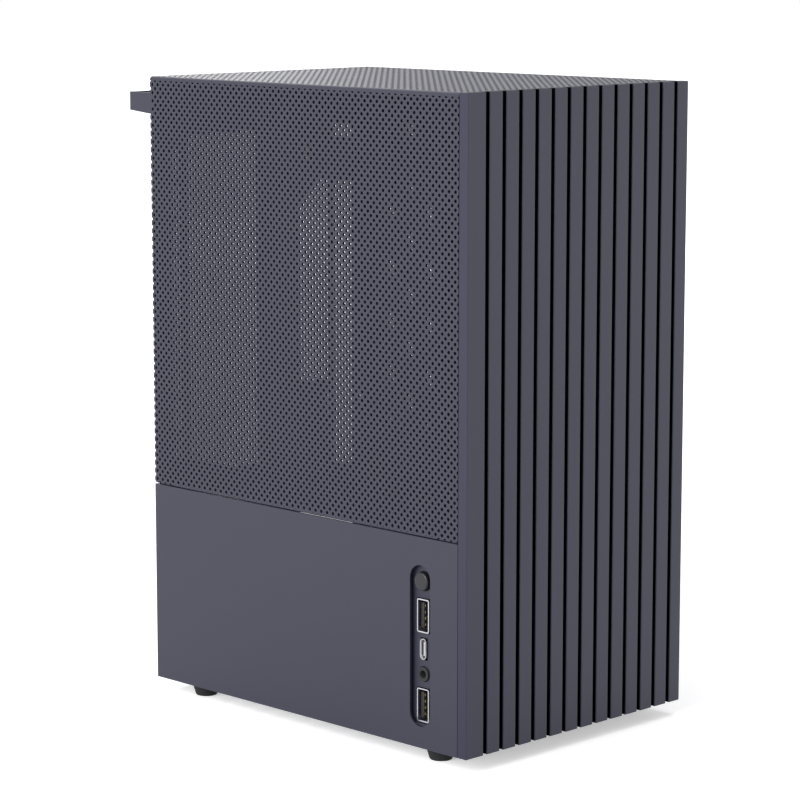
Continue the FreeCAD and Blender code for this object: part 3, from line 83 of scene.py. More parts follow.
# %% Signal
class Signal:
    """The output of a node, which can be added, subtracted and multiplied like a number."""

    def __init__(self, finish, socket):
        self.finish = finish
        self.socket = socket

    def sum_node(self, operation, first, second):
        return self.finish.add("ShaderNodeMath", {"operation": operation}, {0: first, 1: second})

    def __add__(self, other):
        return self.sum_node("ADD", self, other)

    def __radd__(self, other):
        return self.sum_node("ADD", other, self)

    def __sub__(self, other):
        return self.sum_node("SUBTRACT", self, other)

    def __rsub__(self, other):
        return self.sum_node("SUBTRACT", other, self)

    def __mul__(self, other):
        return self.sum_node("MULTIPLY", self, other)

    def __rmul__(self, other):
        return self.sum_node("MULTIPLY", other, self)

    def __gt__(self, other):
        return self.sum_node("GREATER_THAN", self, other)

    def __lt__(self, other):
        return self.sum_node("LESS_THAN", self, other)

    def __abs__(self):
        return self.finish.add("ShaderNodeMath", {"operation": "ABSOLUTE"}, {0: self})

    def up_to(self, most):
        """The smaller of this and the other value."""
        return self.sum_node("MINIMUM", self, most)

    def at_least(self, least):
        """The larger of this and the other value."""
        return self.sum_node("MAXIMUM", self, least)


print("sums on sockets ready")

# %% [markdown]
# ## Every other node
# One method makes any other kind of node: it puts in the settings, fills or links the sockets, and
# gives one output back as a Signal. What many finishes share, such as noise and bump, gets a short
# name on top of it. A finished material could be copied and its numbers changed instead, but a later
# change to all of them would then be made many times.

# %% Finish
def find_socket(sockets, name):
    """A socket by its number, or the one in use that has the name."""
    if isinstance(name, int):
        return sockets[name]
    return [socket for socket in sockets if socket.name == name and socket.enabled][0]


class Finish:
    """The nodes of one material, or of the world, in the making."""

    def __init__(self, owner):
        owner.use_nodes = True
        self.owner = owner
        self.tree = owner.node_tree
        self.tree.nodes.clear()

    def add(self, kind, settings=None, inputs=None, out=0):
        """Any node: its settings come first, then the values or links of its sockets."""
        node = self.tree.nodes.new(kind)
        for name, value in (settings or {}).items():
            setattr(node, name, value)
        for name, value in (inputs or {}).items():
            socket = find_socket(node.inputs, name)
            if isinstance(value, Signal):
                self.tree.links.new(value.socket, socket)
            elif socket.type == "RGBA":
                socket.default_value = (*value[:3], 1.0)
            else:
                socket.default_value = value
        return None if out is None else Signal(self, find_socket(node.outputs, out))

    def place(self):
        return self.add("ShaderNodeTexCoord", out="Object")

    def along(self, axis):
        """One coordinate of the place, in metres."""
        return self.add("ShaderNodeSeparateXYZ", None, {"Vector": self.place()}, axis)

    def noise(self, place, scale, detail=2.0, rough=0.5):
        return self.add("ShaderNodeTexNoise", {"noise_dimensions": "3D"},
                        {"Vector": place, "Scale": scale, "Detail": detail, "Roughness": rough})

    def mix(self, factor, dark, light):
        return self.add("ShaderNodeMix", {"data_type": "RGBA"},
                        {"Factor": factor, "A": dark, "B": light}, "Result")

    def bump(self, height, depth, strength):
        return self.add("ShaderNodeBump", None,
                        {"Height": height, "Distance": depth, "Strength": strength})

    def seen(self):
        """One for what the camera sees straight, mirrored or through glass, and zero for other light."""
        straight, mirrored, through = [self.add("ShaderNodeLightPath", out=f"Is {kind} Ray")
                                       for kind in ("Camera", "Glossy", "Transmission")]
        return straight + mirrored + through

    def end(self, inputs):
        """The surface shader, with what varies linked and what is constant set on its own socket."""
        self.add_output(self.add("ShaderNodeBsdfPrincipled", None, inputs))
        return self.owner

    def add_output(self, shader, kind="ShaderNodeOutputMaterial"):
        self.add(kind, None, {"Surface": shader}, out=None)


def new_finish(name):
    return Finish(bpy.data.materials.new(name))


def toned(colour, share):
    """A darker or lighter version of a colour."""
    return [channel * share for channel in colour]


def swing(noise, reach):
    """A noise pattern as a rise and fall about zero."""
    return (noise - 0.5) * reach


print("ready to mix finishes")

# %% [markdown]
# ## Powder coat
# The sheet metal is coated with a black powder that melts into a matt, faintly pebbled skin. It is
# never one flat colour: the tone drifts a little over a hand's width, and the grain of less than a
# millimetre breaks the highlight. A photograph of coated steel could be projected on it, but a noise
# pattern in the object's own space has no seams and stays sharp however near the camera comes.

# %% Powder coat
def coat_layers(finish, colour, grain, rough):
    """The tone, roughness and bump that the sheet and the front share."""
    place = finish.place()
    drift = finish.noise(place, scale=9.0, detail=3.0)
    grit = finish.noise(place, scale=grain, detail=3.0, rough=0.6)
    speck = finish.noise(place, scale=grain * 2.7, detail=1.0)
    tone = finish.mix(drift * 0.6 + grit * 0.4, toned(colour, 0.86), toned(colour, 1.16))
    roughness = rough + swing(grit, 0.16) + swing(drift, 0.05)
    return tone, roughness, finish.bump(grit * 0.7 + speck * 0.3, depth=0.04 * MM, strength=0.55)


def powder_coat(name, colour, grain, rough, specular):
    finish = new_finish(name)
    tone, roughness, bump = coat_layers(finish, colour, grain, rough)
    return finish.end({"Base Color": tone, "Roughness": roughness, "Specular IOR Level": specular,
                       "Normal": bump})


SHEET_BLACK = (0.0255, 0.0255, 0.044)
finishes = {"black_sheet": powder_coat("black_powder_coat", SHEET_BLACK, grain=1400.0, rough=0.46,
                                       specular=0.38)}
print("coats:", list(finishes))

# %% [markdown]
# ## The grooved front
# Thirteen narrow grooves give the front its stripes. They are deeper than wide, and the shade inside
# them is painted in. The same coat is used for the slats, and a mask worked out from the place, between
# the front face and the groove's floor, paints that shade: it turns the coat black and takes its shine
# away. Painting the grooves by hand would have to be done again whenever their number or width
# changed.

# %% Anodised front with painted groove shade
GROOVE_DEEP = 3.2 * MM
GROOVE_START = 0.15 * GROOVE_DEEP
GROOVE_END = 1.06 * GROOVE_DEEP
# painted shade: the near-black colour given to the groove walls and floor
GROOVE_PAINTED_SHADE = (0.0012, 0.0012, 0.0015)
SIDE_RIM = 1.0 * MM  # the outer sides of the panel keep their coat


def coat_with_painted_groove_shade(name, colour, grain, rough, specular):
    finish = new_finish(name)
    tone, roughness, bump = coat_layers(finish, colour, grain, rough)
    low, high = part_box("front_panel")
    depth = finish.along("Y") - low.y
    # the mask of painted shade: one between the front face and the groove's floor, away from the panel's
    # sides
    inside = (depth > GROOVE_START) * (depth < GROOVE_END)
    inside = inside * (abs(finish.along("X")) < high.x - SIDE_RIM)
    return finish.end({
        # inside the grooves the coat becomes near-black metal with more roughness, as painted shade with
        # no shine
        "Base Color": finish.mix(inside, tone, GROOVE_PAINTED_SHADE),
        "Roughness": roughness + inside * 0.3,
        "Metallic": inside,
        "Specular IOR Level": specular,
        "Normal": bump})


FRONT_BLACK = (0.0145, 0.0145, 0.036)
finishes["front_finish"] = coat_with_painted_groove_shade("black_anodised_front", FRONT_BLACK, grain=2400.0, rough=0.42,
                                        specular=0.40)
print("front finish made")

# %% [markdown]
# ## Rubber, plastic and metal
# The small pieces decide whether a case looks real from near by: soft grey-black rubber in the feet,
# moulded plastic in the sockets, dark oiled screws, bright plated shells and gold contacts. Each has
# its own roughness pattern. Turned metal gets fine rings or streaks, made by stretching a noise
# along one axis with a Mapping node, which is how brushed metal is usually drawn.

# %% Small finishes
def moulded(name, colour, rough, grain, depth, specular=0.5):
    finish = new_finish(name)
    place = finish.place()
    cloud = finish.noise(place, scale=40.0)
    grit = finish.noise(place, scale=grain)
    return finish.end({
        "Base Color": finish.mix(cloud, toned(colour, 0.8), toned(colour, 1.25)),
        "Roughness": rough + swing(grit, 0.2),
        "Specular IOR Level": specular,
        "Normal": finish.bump(grit, depth, strength=0.6)})


def brushed(name, colour, rough, streaks, metallic=1.0):
    finish = new_finish(name)
    place = finish.place()
    stretched = finish.add("ShaderNodeMapping", {"vector_type": "POINT"},
                           {"Vector": place, "Scale": streaks})
    streak = finish.noise(stretched, scale=1.0, detail=3.0, rough=0.6)
    smudge = finish.noise(place, scale=160.0)
    return finish.end({
        "Base Color": finish.mix(streak * 0.7 + smudge * 0.3, toned(colour, 0.78), colour),
        "Metallic": metallic,
        "Roughness": rough + swing(streak, 0.22) + swing(smudge, 0.12),
        "Normal": finish.bump(streak, depth=0.01 * MM, strength=0.5)})


finishes["rubber_foot"] = moulded("foot_rubber", (0.022, 0.022, 0.024), rough=0.78, grain=1600.0,
                                  depth=0.05 * MM, specular=0.3)
finishes["jack_black"] = moulded("moulded_plastic", (0.014, 0.014, 0.016), rough=0.52, grain=2600.0,
                                 depth=0.03 * MM, specular=0.35)
finishes["button_black"] = moulded("button_satin", (0.014, 0.014, 0.018), rough=0.34, grain=3200.0,
                                   depth=0.01 * MM, specular=0.4)
finishes["black_screw"] = brushed("black_oxide", (0.075, 0.074, 0.078), rough=0.42,
                                  streaks=(2500.0, 2500.0, 400.0), metallic=0.85)
finishes["port_steel"] = brushed("plated_shell", (0.62, 0.62, 0.66), rough=0.30,
                                 streaks=(300.0, 4000.0, 4000.0))
finishes["brass_spacer"] = brushed("turned_brass", (0.72, 0.55, 0.27), rough=0.28,
                                   streaks=(6000.0, 200.0, 200.0))
gold = brushed("contact_gold", (0.83, 0.60, 0.24), rough=0.25, streaks=(2500.0, 2500.0, 2500.0))
chip = moulded("chip_resin", (0.018, 0.018, 0.019), rough=0.55, grain=2200.0, depth=0.02 * MM)
print("finishes:", sorted(finishes))

# %% [markdown]
# ## Solder mask
# A circuit board is dark and slightly glossy, with copper tracks that show as faint raised lines
# under the lacquer. The tracks here come from a brick pattern, whose thin mortar lines make long
# straight runs. Drawing real tracks would take hours, and at this size nobody could follow them.

# %% Circuit board
MORTAR_MASK = 1  # the brick pattern's second output: one in the mortar, zero in the bricks


def solder_mask(name, dark, light):
    finish = new_finish(name)
    place = finish.place()
    turned = finish.add("ShaderNodeMapping", {"vector_type": "POINT"},
                        {"Vector": place, "Rotation": (math.radians(90.0), 0.0, 0.0)})
    tracks = finish.add("ShaderNodeTexBrick", {"offset": 0.37},
                        {"Vector": turned, "Scale": 260.0, "Mortar Size": 0.035}, MORTAR_MASK)
    cloud = finish.noise(place, scale=300.0)
    return finish.end({
        "Base Color": finish.mix(tracks * 0.8 + cloud * 0.2, dark, light),
        "Roughness": 0.34 + cloud * 0.12,
        "Coat Weight": 0.35,
        "Normal": finish.bump(tracks, depth=0.03 * MM, strength=0.5)})


finishes["board_black"] = solder_mask("solder_mask", (0.012, 0.016, 0.015), (0.040, 0.055, 0.048))
print("board finish made")

# %% [markdown]
# ## Every measured part gets its finish
# The record of the model says which finish each part has. A part whose shape is already right keeps
# its mesh, and only its material changes. Each material could be picked in the viewport, but a loop
# over the record forgets no part and still works when one is added.

# %% Dress the measured parts
slot_of = {part["node"]: part["material_slot"] for part in frame["record"]["subparts"]}
for name, node in nodes.items():
    node.data.materials.clear()
    node.data.materials.append(finishes[slot_of[name]])
print("dressed", len(nodes), "parts")

# %% [markdown]
# ## Small helpers for modelling
# Operators act on whatever is selected, and the loader leaves parts selected, so every step starts by
# clearing the selection. These few helpers keep the steps after them short: pick one piece, apply a
# modifier, put a piece in its place, copy it, and hand it over to the body that it moves with. Written
# out each time, they would make up half of the lesson.

# %% Helpers
def leave():
    if bpy.context.mode != "OBJECT":
        bpy.ops.object.mode_set(mode="OBJECT")


def clear_selection():
    leave()
    bpy.ops.object.select_all(action="DESELECT")


def pick(piece):
    clear_selection()
    piece.select_set(True)
    bpy.context.view_layer.objects.active = piece


def apply_modifier(piece, kind, **settings):
    pick(piece)
    modifier = piece.modifiers.new(kind.lower(), kind)
    for name, value in settings.items():
        setattr(modifier, name, value)
    bpy.ops.object.modifier_apply(modifier=modifier.name)


def edit(piece):
    pick(piece)
    bpy.ops.object.mode_set(mode="EDIT")


def settle(piece, place=(0.0, 0.0, 0.0), turn=(0.0, 0.0, 0.0), scale=(1.0, 1.0, 1.0)):
    """Turn and move a piece, then write that into its mesh, so its object stays at the origin."""
    pick(piece)
    piece.location = place
    piece.rotation_euler = turn
    piece.scale = scale
    bpy.ops.object.transform_apply(location=True, rotation=True, scale=True)


def copy_of(piece, name):
    """A second piece with a mesh of its own."""
    twin = bpy.data.objects.new(name, piece.data.copy())
    bpy.context.scene.collection.objects.link(twin)
    return twin


def hand_over(piece, body, slot, *replaced, finish=None):
    """Give the piece its finish and its body, and hide the measured parts that it stands for."""
    piece.data.materials.clear()
    piece.data.materials.append(finish or finishes[slot])
    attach(piece, body)
    if replaced:
        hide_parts(*replaced)


def triangles(piece):
    return sum(len(face.vertices) - 2 for face in piece.data.polygons)


print("helpers ready")

# %% [markdown]
# ## Edges that catch the light
# No real edge is perfectly sharp. Powder coat runs thin over it and leaves a radius of a few tenths of
# a millimetre, and that thin line of light is what makes black metal readable. Each coated part is
# copied, its loose triangles are merged into whole faces, and a bevel goes round every sharp edge.
# A shader can fake such a radius, but the fake is lost when the model is exported.

# %% Rounded copies of the coated parts
MERGE = 0.001 * MM  # vertices nearer than this become one
FLAT_WITHIN = math.radians(0.5)  # triangles that turn by less become one face


def ease(piece, width, parts, angle=30.0):
    """A narrow bevel along the edges that turn by more than the angle."""
    apply_modifier(piece, "BEVEL", width=width, segments=parts, limit_method="ANGLE",
                   angle_limit=math.radians(angle))


def smooth(piece, angle):
    """Shade the piece smooth, but not over edges that turn by more than the angle."""
    pick(piece)
    bpy.ops.object.shade_smooth_by_angle(angle=math.radians(angle))
    return piece


def eased_copy(node, width, parts=1, angle=30.0):
    """A copy of a measured part with a narrow bevel along its sharp edges."""
    piece = copy_of(nodes[node], node + "_eased")
    edit(piece)
    bpy.ops.mesh.select_all(action="SELECT")
    bpy.ops.mesh.remove_doubles(threshold=MERGE)
    bpy.ops.mesh.dissolve_limited(angle_limit=FLAT_WITHIN)
    leave()
    ease(piece, width, parts, angle)
    return smooth(piece, angle=29.0)


EASED = {  # the bevel of each part, in millimetres
    "front_panel": 0.35, "front_frame": 0.15, "rear_frame": 0.20, "rear_io_plate": 0.20,
    "motherboard_tray": 0.20, "bottom_tray": 0.18, "top_bracket": 0.20, "lower_panel_left": 0.25,
    "lower_panel_right": 0.25, "rear_top_rail": 0.25, "slot_clamp": 0.20, "io_bracket": 0.15,
    "usb_c_port": 0.06, "audio_jack": 0.15, "button_switch": 0.15, "power_button": 0.05,
    "io_board": 0.10, "standoffs": 0.15,
}
bodies = frame["record"]["behaviour"]["bodies"]
body_of = {node: body for body, members in bodies.items() for node in members}
for node, width in EASED.items():
    piece = eased_copy(node, width * MM)
    hand_over(piece, body_of[node], slot_of[node], node)
    print(piece.name, triangles(piece), "triangles")

# %% [markdown]
# ## Rubber feet
# Rubber comes out of its mould with soft edges, so the feet get a wider bevel in three steps. The same
# could be had with a subdivision surface, but that would shrink the rim and the taper.

# %% Feet
for node in [name for name in nodes if name.startswith("foot_") and name != "foot_screws"]:
    piece = eased_copy(node, width=0.45 * MM, parts=3, angle=20.0)
    hand_over(piece, "chassis", slot_of[node], node)
print("feet eased")

# %% [markdown]
# ## Screws
# A machine screw is turned from bar: a shank, a head with a domed crown, and a cross recess struck into
# it. One screw of each length is built along Z by extruding a disc and resizing it ring by ring, the
# recess is cut with two tapered bars, and copies go to every place where the measured model has one.
# A ready-made thread would add thousands of faces that no one sees inside a nut.

# %% One screw
SCREW_SIDES = 24
ARM_WIDE, ARM_DEEP = 0.24, 0.36  # shares of the recess's length
ARM_TAPER = (0.45, 0.7, 1.0)  # the floor of an arm, as shares of its mouth
TIP_NARROW, TIP_LONG = 0.7, 0.3  # shares of the shank's radius
SEAT_WIDE, SUNK_WIDE = 0.96, 0.98  # shares of the head's radius
RIM_LOW, WALL_TALL, LAND_DEEP = 0.08, 0.35, 0.1  # shares of the head's height
CROWN_TURNS = (20, 40, 55)  # degrees up the crown


def block(name, low, high):
    """A plain block between two corners, for the next steps to shape."""
    clear_selection()
    bpy.ops.mesh.primitive_cube_add(size=1.0, location=(0.0, 0.0, 0.0))
    piece = bpy.context.object
    piece.name = name
    settle(piece, place=[(start + end) / 2 for start, end in zip(low, high)],
           scale=[end - start for start, end in zip(low, high)])
    return piece


def mark_vertices(piece, test):
    """Select the vertices that pass a test of their place, and nothing else. Ends in edit mode."""
    edit(piece)
    bpy.ops.mesh.select_mode(type="VERT")
    bpy.ops.mesh.select_all(action="DESELECT")
    leave()
    for vertex in piece.data.vertices:
        vertex.select = test(vertex.co)
    edit(piece)


def ring_up(rise, grow):
    """Raise the selected disc and change its width."""
    bpy.ops.mesh.extrude_region_move(TRANSFORM_OT_translate={"value": (0.0, 0.0, rise)})
    bpy.ops.transform.resize(value=(grow, grow, 1.0))


def cross_bar(turn, long, top):
    """One arm of the driver's recess, narrower towards its bottom."""
    half, deep = ARM_WIDE * long / 2, ARM_DEEP * long
    bar = block("recess", (-long / 2, -half, top - deep), (long / 2, half, top + deep))
    mark_vertices(bar, lambda spot: spot.z < top)
    bpy.ops.transform.resize(value=ARM_TAPER)
    leave()
    settle(bar, turn=(0.0, 0.0, turn))
    return bar


def screw_blank(profile, recess_long):
    """A screw from its tip upwards: each step of the profile is a radius and a height."""
    radius, height = profile[0]
    clear_selection()
    bpy.ops.mesh.primitive_circle_add(vertices=SCREW_SIDES, radius=radius, fill_type="NGON")
    screw = bpy.context.object
    screw.name = "screw_blank"
    settle(screw, place=(0.0, 0.0, height))
    edit(screw)
    bpy.ops.mesh.select_all(action="SELECT")
    for wider, higher in profile[1:]:
        ring_up(higher - height, wider / radius)
        radius, height = wider, higher
    bpy.ops.mesh.select_all(action="SELECT")
    bpy.ops.mesh.normals_make_consistent(inside=False)
    for turn in (0.0, math.radians(90.0)):
        bar = cross_bar(turn, recess_long, height)
        apply_modifier(screw, "BOOLEAN", operation="DIFFERENCE", object=bar, solver="EXACT")
        bpy.data.objects.remove(bar)
    return smooth(screw, angle=32.0)


def shank_tip(shank, reach):
    """The chamfered end that both kinds of screw start with."""
    return [(shank * TIP_NARROW, -reach), (shank, -reach + shank * TIP_LONG)]


def domed_head(radius, tall, shank, reach):
    """Half outline of a round head: tip, shank, flat seat, short wall and a crown in arcs."""
    wall = tall * WALL_TALL
    crown = [(radius * math.cos(math.radians(turn)), wall + (tall - wall) * math.sin(math.radians(turn)))
             for turn in CROWN_TURNS]
    seat = [(shank, 0.0), (radius * SEAT_WIDE, 0.0), (radius, tall * RIM_LOW), (radius, wall)]
    return shank_tip(shank, reach) + seat + crown


def sunk_head(radius, deep, shank, reach):
    """Half outline of a flat head that fills a tapered hole."""
    cone = [(shank, -deep), (radius * SUNK_WIDE, -deep * LAND_DEEP), (radius, 0.0)]
    return shank_tip(shank, reach) + cone


print("screw tools ready")

# %% [markdown]
# ## Kinds of screw
# Four kinds hold the case together: pan heads on the panels and frames, wide thumb heads on the rear
# rail, small heads on the port board, and flat heads that sink into tapered holes. A kind is no more
# than the radius of the head, its height and the radius of the shank, so four rows of numbers do what
# a bought catalogue of screws would.

# %% Kinds of screw
PAN = (2.9 * MM, 2.0 * MM, 1.45 * MM)
THUMB = (4.2 * MM, 3.0 * MM, 1.45 * MM)
SMALL = (2.2 * MM, 1.5 * MM, 1.05 * MM)
SUNK = (2.8 * MM, 1.2 * MM, 1.45 * MM)
SCREWS = {"panel_screws": ("y", PAN), "side_panel_screws": ("x", PAN), "top_screws": ("z", SUNK),
          "floor_screws": ("z", SUNK), "foot_screws": ("z", PAN), "port_bracket_screw": ("z", SMALL),
          "rail_screws": ("y", THUMB), "io_plate_screws": ("y", PAN), "tray_screws": ("y", PAN),
          "clamp_screw": ("y", PAN), "io_board_screws": ("y", SMALL)}
print("groups of screws:", len(SCREWS))

# %% [markdown]
# ## A screw for every hole
# The measured model says where each screw sits, how long it is and which way its head looks. Each
# group is taken apart into its loose solids, the wider end of each is found, and a copy of the screw
# of that length is turned and set there. Nearly forty screws could be placed by hand, but they would
# stay behind as soon as a hole moved.

# %% Screws in their places
AXES = {"x": 0, "y": 1, "z": 2}
TURNS = {("z", 1): (0.0, 0.0, 0.0), ("z", -1): (math.pi, 0.0, 0.0), ("y", -1): (math.pi / 2, 0.0, 0.0),
         ("y", 1): (-math.pi / 2, 0.0, 0.0), ("x", -1): (0.0, -math.pi / 2, 0.0),
         ("x", 1): (0.0, math.pi / 2, 0.0)}
NEAR_END = 0.12  # share of the screw's length
RECESS_LONG = 1.15  # share of the head's radius
FIRST_TURN, NEXT_TURN = 0.35, 0.9  # radians, so that no two recesses stand alike


def loose_corners(node):
    """The vertices of each separate solid in a measured part."""
    spare = copy_of(nodes[node], "spare")
    edit(spare)
    bpy.ops.mesh.select_all(action="SELECT")
    bpy.ops.mesh.remove_doubles(threshold=MERGE)
    bpy.ops.mesh.separate(type="LOOSE")
    leave()
    found = []
    for item in list(bpy.context.selected_objects):
        found.append([vertex.co.copy() for vertex in item.data.vertices])
        bpy.data.objects.remove(item)
    return found


def girth(corners, middle, along, end, near):
    """How far the corners close to one end reach out from the screw's middle line."""
    across = [index for index in range(3) if index != along]
    return max(math.hypot(*[corner[index] - middle[index] for index in across])
               for corner in corners if abs(corner[along] - end) < near)


def head_place(corners, along, kind):
    """Where the head's seat is, which way the head looks along the axis, and the screw's length."""
    low = Vector([min(corner[index] for corner in corners) for index in range(3)])
    high = Vector([max(corner[index] for corner in corners) for index in range(3)])
    spot = (low + high) / 2
    span = high[along] - low[along]
    ends = [girth(corners, spot, along, end[along], span * NEAR_END) for end in (low, high)]
    way = 1 if ends[1] > ends[0] else -1
    spot[along] = high[along] if way > 0 else low[along]
    if kind is not SUNK:
        spot[along] -= way * kind[1]
    return spot, way, round(span, 5)


def blank_for(kind, span):
    """A screw of one kind and whole length, modelled along Z with its seat at the height 0."""
    radius, tall, shank = kind
    if kind is SUNK:
        outline = sunk_head(radius, tall, shank, span)
    else:
        outline = domed_head(radius, tall, shank, span - tall)
    return screw_blank(outline, radius * RECESS_LONG)


def join(pieces, name):
    pick(pieces[0])
    for piece in pieces[1:]:
        piece.select_set(True)
    if len(pieces) > 1:
        bpy.ops.object.join()
    pieces[0].name = name
    return pieces[0]


def place_screws(node, axis, kind):
    """One joined piece with a copy of the modelled screw at each place of the node."""
    blanks = {}
    set_out = []
    for number, corners in enumerate(loose_corners(node)):
        spot, way, length = head_place(corners, AXES[axis], kind)
        if length not in blanks:
            blanks[length] = blank_for(kind, length)
        screw = copy_of(blanks[length], f"{node}_{number}")
        settle(screw, turn=(0.0, 0.0, FIRST_TURN + NEXT_TURN * number))
        settle(screw, place=spot, turn=TURNS[(axis, way)])
        set_out.append(screw)
    for blank in blanks.values():
        bpy.data.objects.remove(blank)
    return join(set_out, node + "_turned")


for node, (axis, kind) in SCREWS.items():
    piece = place_screws(node, axis, kind)
    hand_over(piece, body_of[node], slot_of[node], node)
    print(piece.name, triangles(piece), "triangles")

# %% [markdown]
# ## Sockets of the port module
# A socket for a flat plug is a folded steel shell with a plastic tongue inside, and four gold springs
# lie on the tongue. The shell is a box with its mouth taken off, its long edges rounded, and its wall
# given a thickness inwards. Cutting the hollow with a boolean would also do, but it leaves sharp
# corners that no folded shell has.

# %% Blocks and shells
def soft_block(name, low, high, round_off, parts=2):
    """A block between two corners with rounded edges."""
    piece = block(name, low, high)
    ease(piece, round_off, parts)
    return smooth(piece, angle=29.0)


def mark_faces(piece, test):
    """Select the faces that pass a test of their middle and normal. Ends in edit mode."""
    edit(piece)
    bpy.ops.mesh.select_mode(type="FACE")
    bpy.ops.mesh.select_all(action="DESELECT")
    leave()
    for face in piece.data.polygons:
        face.select = test(face.center, face.normal)
    edit(piece)


def folded_shell(name, low, high, round_off, wall):
    """A box open towards -X, with rounded long edges and an even wall."""
    piece = block(name, low, high)
    mark_faces(piece, lambda middle, normal: normal.x < -0.9)
    bpy.ops.mesh.delete(type="FACE")
    leave()
    ease(piece, round_off, parts=3)
    apply_modifier(piece, "SOLIDIFY", thickness=wall, offset=-1.0)
    return smooth(piece, angle=31.0)


print("blocks and shells ready")

# %% [markdown]
# ## Two flat sockets
# Only the upper socket is modelled, and in it only one spring. The other springs and the whole lower
# socket are copies, moved by the distance that the measured parts give. A linked copy that shares one
# mesh would be lighter, but each piece needs its own mesh when its finish is baked.

# %% Flat sockets
USB_WIDE, USB_WALL, USB_ROUND = 7.0 * MM, 0.5 * MM, 0.9 * MM
TONGUE_START, TONGUE_END = 1.2 * MM, 1.8 * MM
TONGUE_GAP, TONGUE_THICK, TONGUE_ROUND = 0.4 * MM, 1.9 * MM, 0.2 * MM
BASE_START, BASE_INSET, BASE_ROUND = 3.2 * MM, 0.2 * MM, 0.25 * MM
SPRINGS, SPRING_START, SPRING_LONG = 4, 0.5 * MM, 8.0 * MM
SPRING_WIDE, SPRING_THICK, SPRING_ROUND = 1.1 * MM, 0.16 * MM, 0.05 * MM
OVERLAP = 0.1 * MM  # how far a piece sinks into the one that carries it


def moved_copy(piece, name, move):
    """A second piece with a mesh of its own, one move away from the first."""
    twin = copy_of(piece, name)
    settle(twin, place=move)
    return twin


def row_of(first, stem, count, step):
    """A row upwards: the first piece, and numbered copies of it."""
    return [first] + [moved_copy(first, f"{stem}_{number}", (0.0, 0.0, number * step))
                      for number in range(1, count)]


def flat_socket(node, word):
    """The shell, tongue, base and springs of one socket, in the place of a measured one."""
    low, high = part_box(node)
    shell = folded_shell(f"{word}_shell", low, (high.x, low.y + USB_WIDE, high.z), USB_ROUND, USB_WALL)
    tongue_low = (low.x + TONGUE_START, low.y + USB_WIDE / 2 + TONGUE_GAP, low.z + TONGUE_END)
    tongue_high = (high.x - USB_WALL, tongue_low[1] + TONGUE_THICK, high.z - TONGUE_END)
    tongue = soft_block(f"{word}_tongue", tongue_low, tongue_high, TONGUE_ROUND)
    base_low = (low.x + BASE_START, low.y + USB_WIDE - OVERLAP, low.z + BASE_INSET)
    base = soft_block(f"{word}_base", base_low, (high.x, high.y, high.z - BASE_INSET), BASE_ROUND)
    step = (tongue_high[2] - tongue_low[2]) / SPRINGS
    spring_low = (tongue_low[0] + SPRING_START, tongue_low[1] - SPRING_THICK,
                  tongue_low[2] + (step - SPRING_WIDE) / 2)
    spring_high = (spring_low[0] + SPRING_LONG, tongue_low[1] + OVERLAP, spring_low[2] + SPRING_WIDE)
    spring = soft_block(f"{word}_spring", spring_low, spring_high, SPRING_ROUND, parts=1)
    return shell, tongue, base, join(row_of(spring, f"{word}_spring", SPRINGS, step), f"{word}_springs")


upper_socket = flat_socket("usb_port_upper", "upper_socket")
socket_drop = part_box("usb_port_lower")[0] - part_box("usb_port_upper")[0]
lower_socket = [moved_copy(piece, piece.name.replace("upper", "lower"), socket_drop)
                for piece in upper_socket]
SOCKET_FINISHES = (("port_steel", None), ("jack_black", None), ("jack_black", None),
                   ("port_steel", gold))
for node, pieces in (("usb_port_upper", upper_socket), ("usb_port_lower", lower_socket)):
    for piece, (slot, finish) in zip(pieces, SOCKET_FINISHES):
        hand_over(piece, "chassis", slot, node, finish=finish)
        print(piece.name, triangles(piece), "triangles")

# %% [markdown]
# ## The small oval socket
# Its steel mouth is right as measured. What is missing is the dark insert at its end and the thin
# tongue with its row of gold contacts, so these are laid inside it. Contacts painted on the tongue
# would be lighter, but only real edges catch the light in so small a hole.

# %% Oval socket
OVAL_WIDE, OVAL_TALL, OVAL_WALL, OVAL_DEEP = 3.6 * MM, 9.2 * MM, 0.35 * MM, 7.7 * MM
INSERT_SLACK = 1.3 * OVAL_WALL  # from the outside of the mouth to the insert
CONTACTS, CONTACT_STEP = 6, 0.95 * MM
oval_low, oval_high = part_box("usb_c_port")
oval_middle_y = oval_low.y + OVAL_WIDE / 2
oval_middle_z = (oval_low.z + oval_high.z) / 2


def in_oval(name, depths, half_sizes, round_off):
    """A block about the middle of the socket, between two depths behind its mouth."""
    half_thick, half_tall = half_sizes
    low = (oval_low.x + depths[0], oval_middle_y - half_thick, oval_middle_z - half_tall)
    high = (oval_low.x + depths[1], oval_middle_y + half_thick, oval_middle_z + half_tall)
    return soft_block(name, low, high, round_off)


insert = in_oval("oval_socket_insert", (4.6 * MM, OVAL_DEEP),
                 (OVAL_WIDE / 2 - INSERT_SLACK, OVAL_TALL / 2 - INSERT_SLACK), 1.1 * MM)
tongue = in_oval("oval_socket_tongue", (0.9 * MM, 4.8 * MM), (0.42 * MM, 3.2 * MM), 0.15 * MM)
contact = in_oval("oval_contact_0", (1.2 * MM, 4.4 * MM), (0.46 * MM, 0.14 * MM), 0.03 * MM)
settle(contact, place=(0.0, 0.0, -CONTACT_STEP * (CONTACTS - 1) / 2))
for piece in (insert, tongue):
    hand_over(piece, "chassis", "jack_black")
for piece in row_of(contact, "oval_contact", CONTACTS, CONTACT_STEP):
    hand_over(piece, "chassis", "port_steel", finish=gold)
print("oval socket filled, with", CONTACTS, "contacts")

# %% [markdown]
# ## What the board carries
# Between the sockets stand a plain header block, a driver chip and a few small capacitors. They are
# only seen with the cover off, so each is a rounded block of the right size, which is what such parts
# really are. Legs and solder could be modelled too, but at this size they would only be noise.

# %% Small parts on the board
CAPACITORS, CAPACITOR_STEP = 4, 2.0 * MM
BLOCK_ROUND = 0.12  # share of the smallest side
board_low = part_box("io_board")[0]


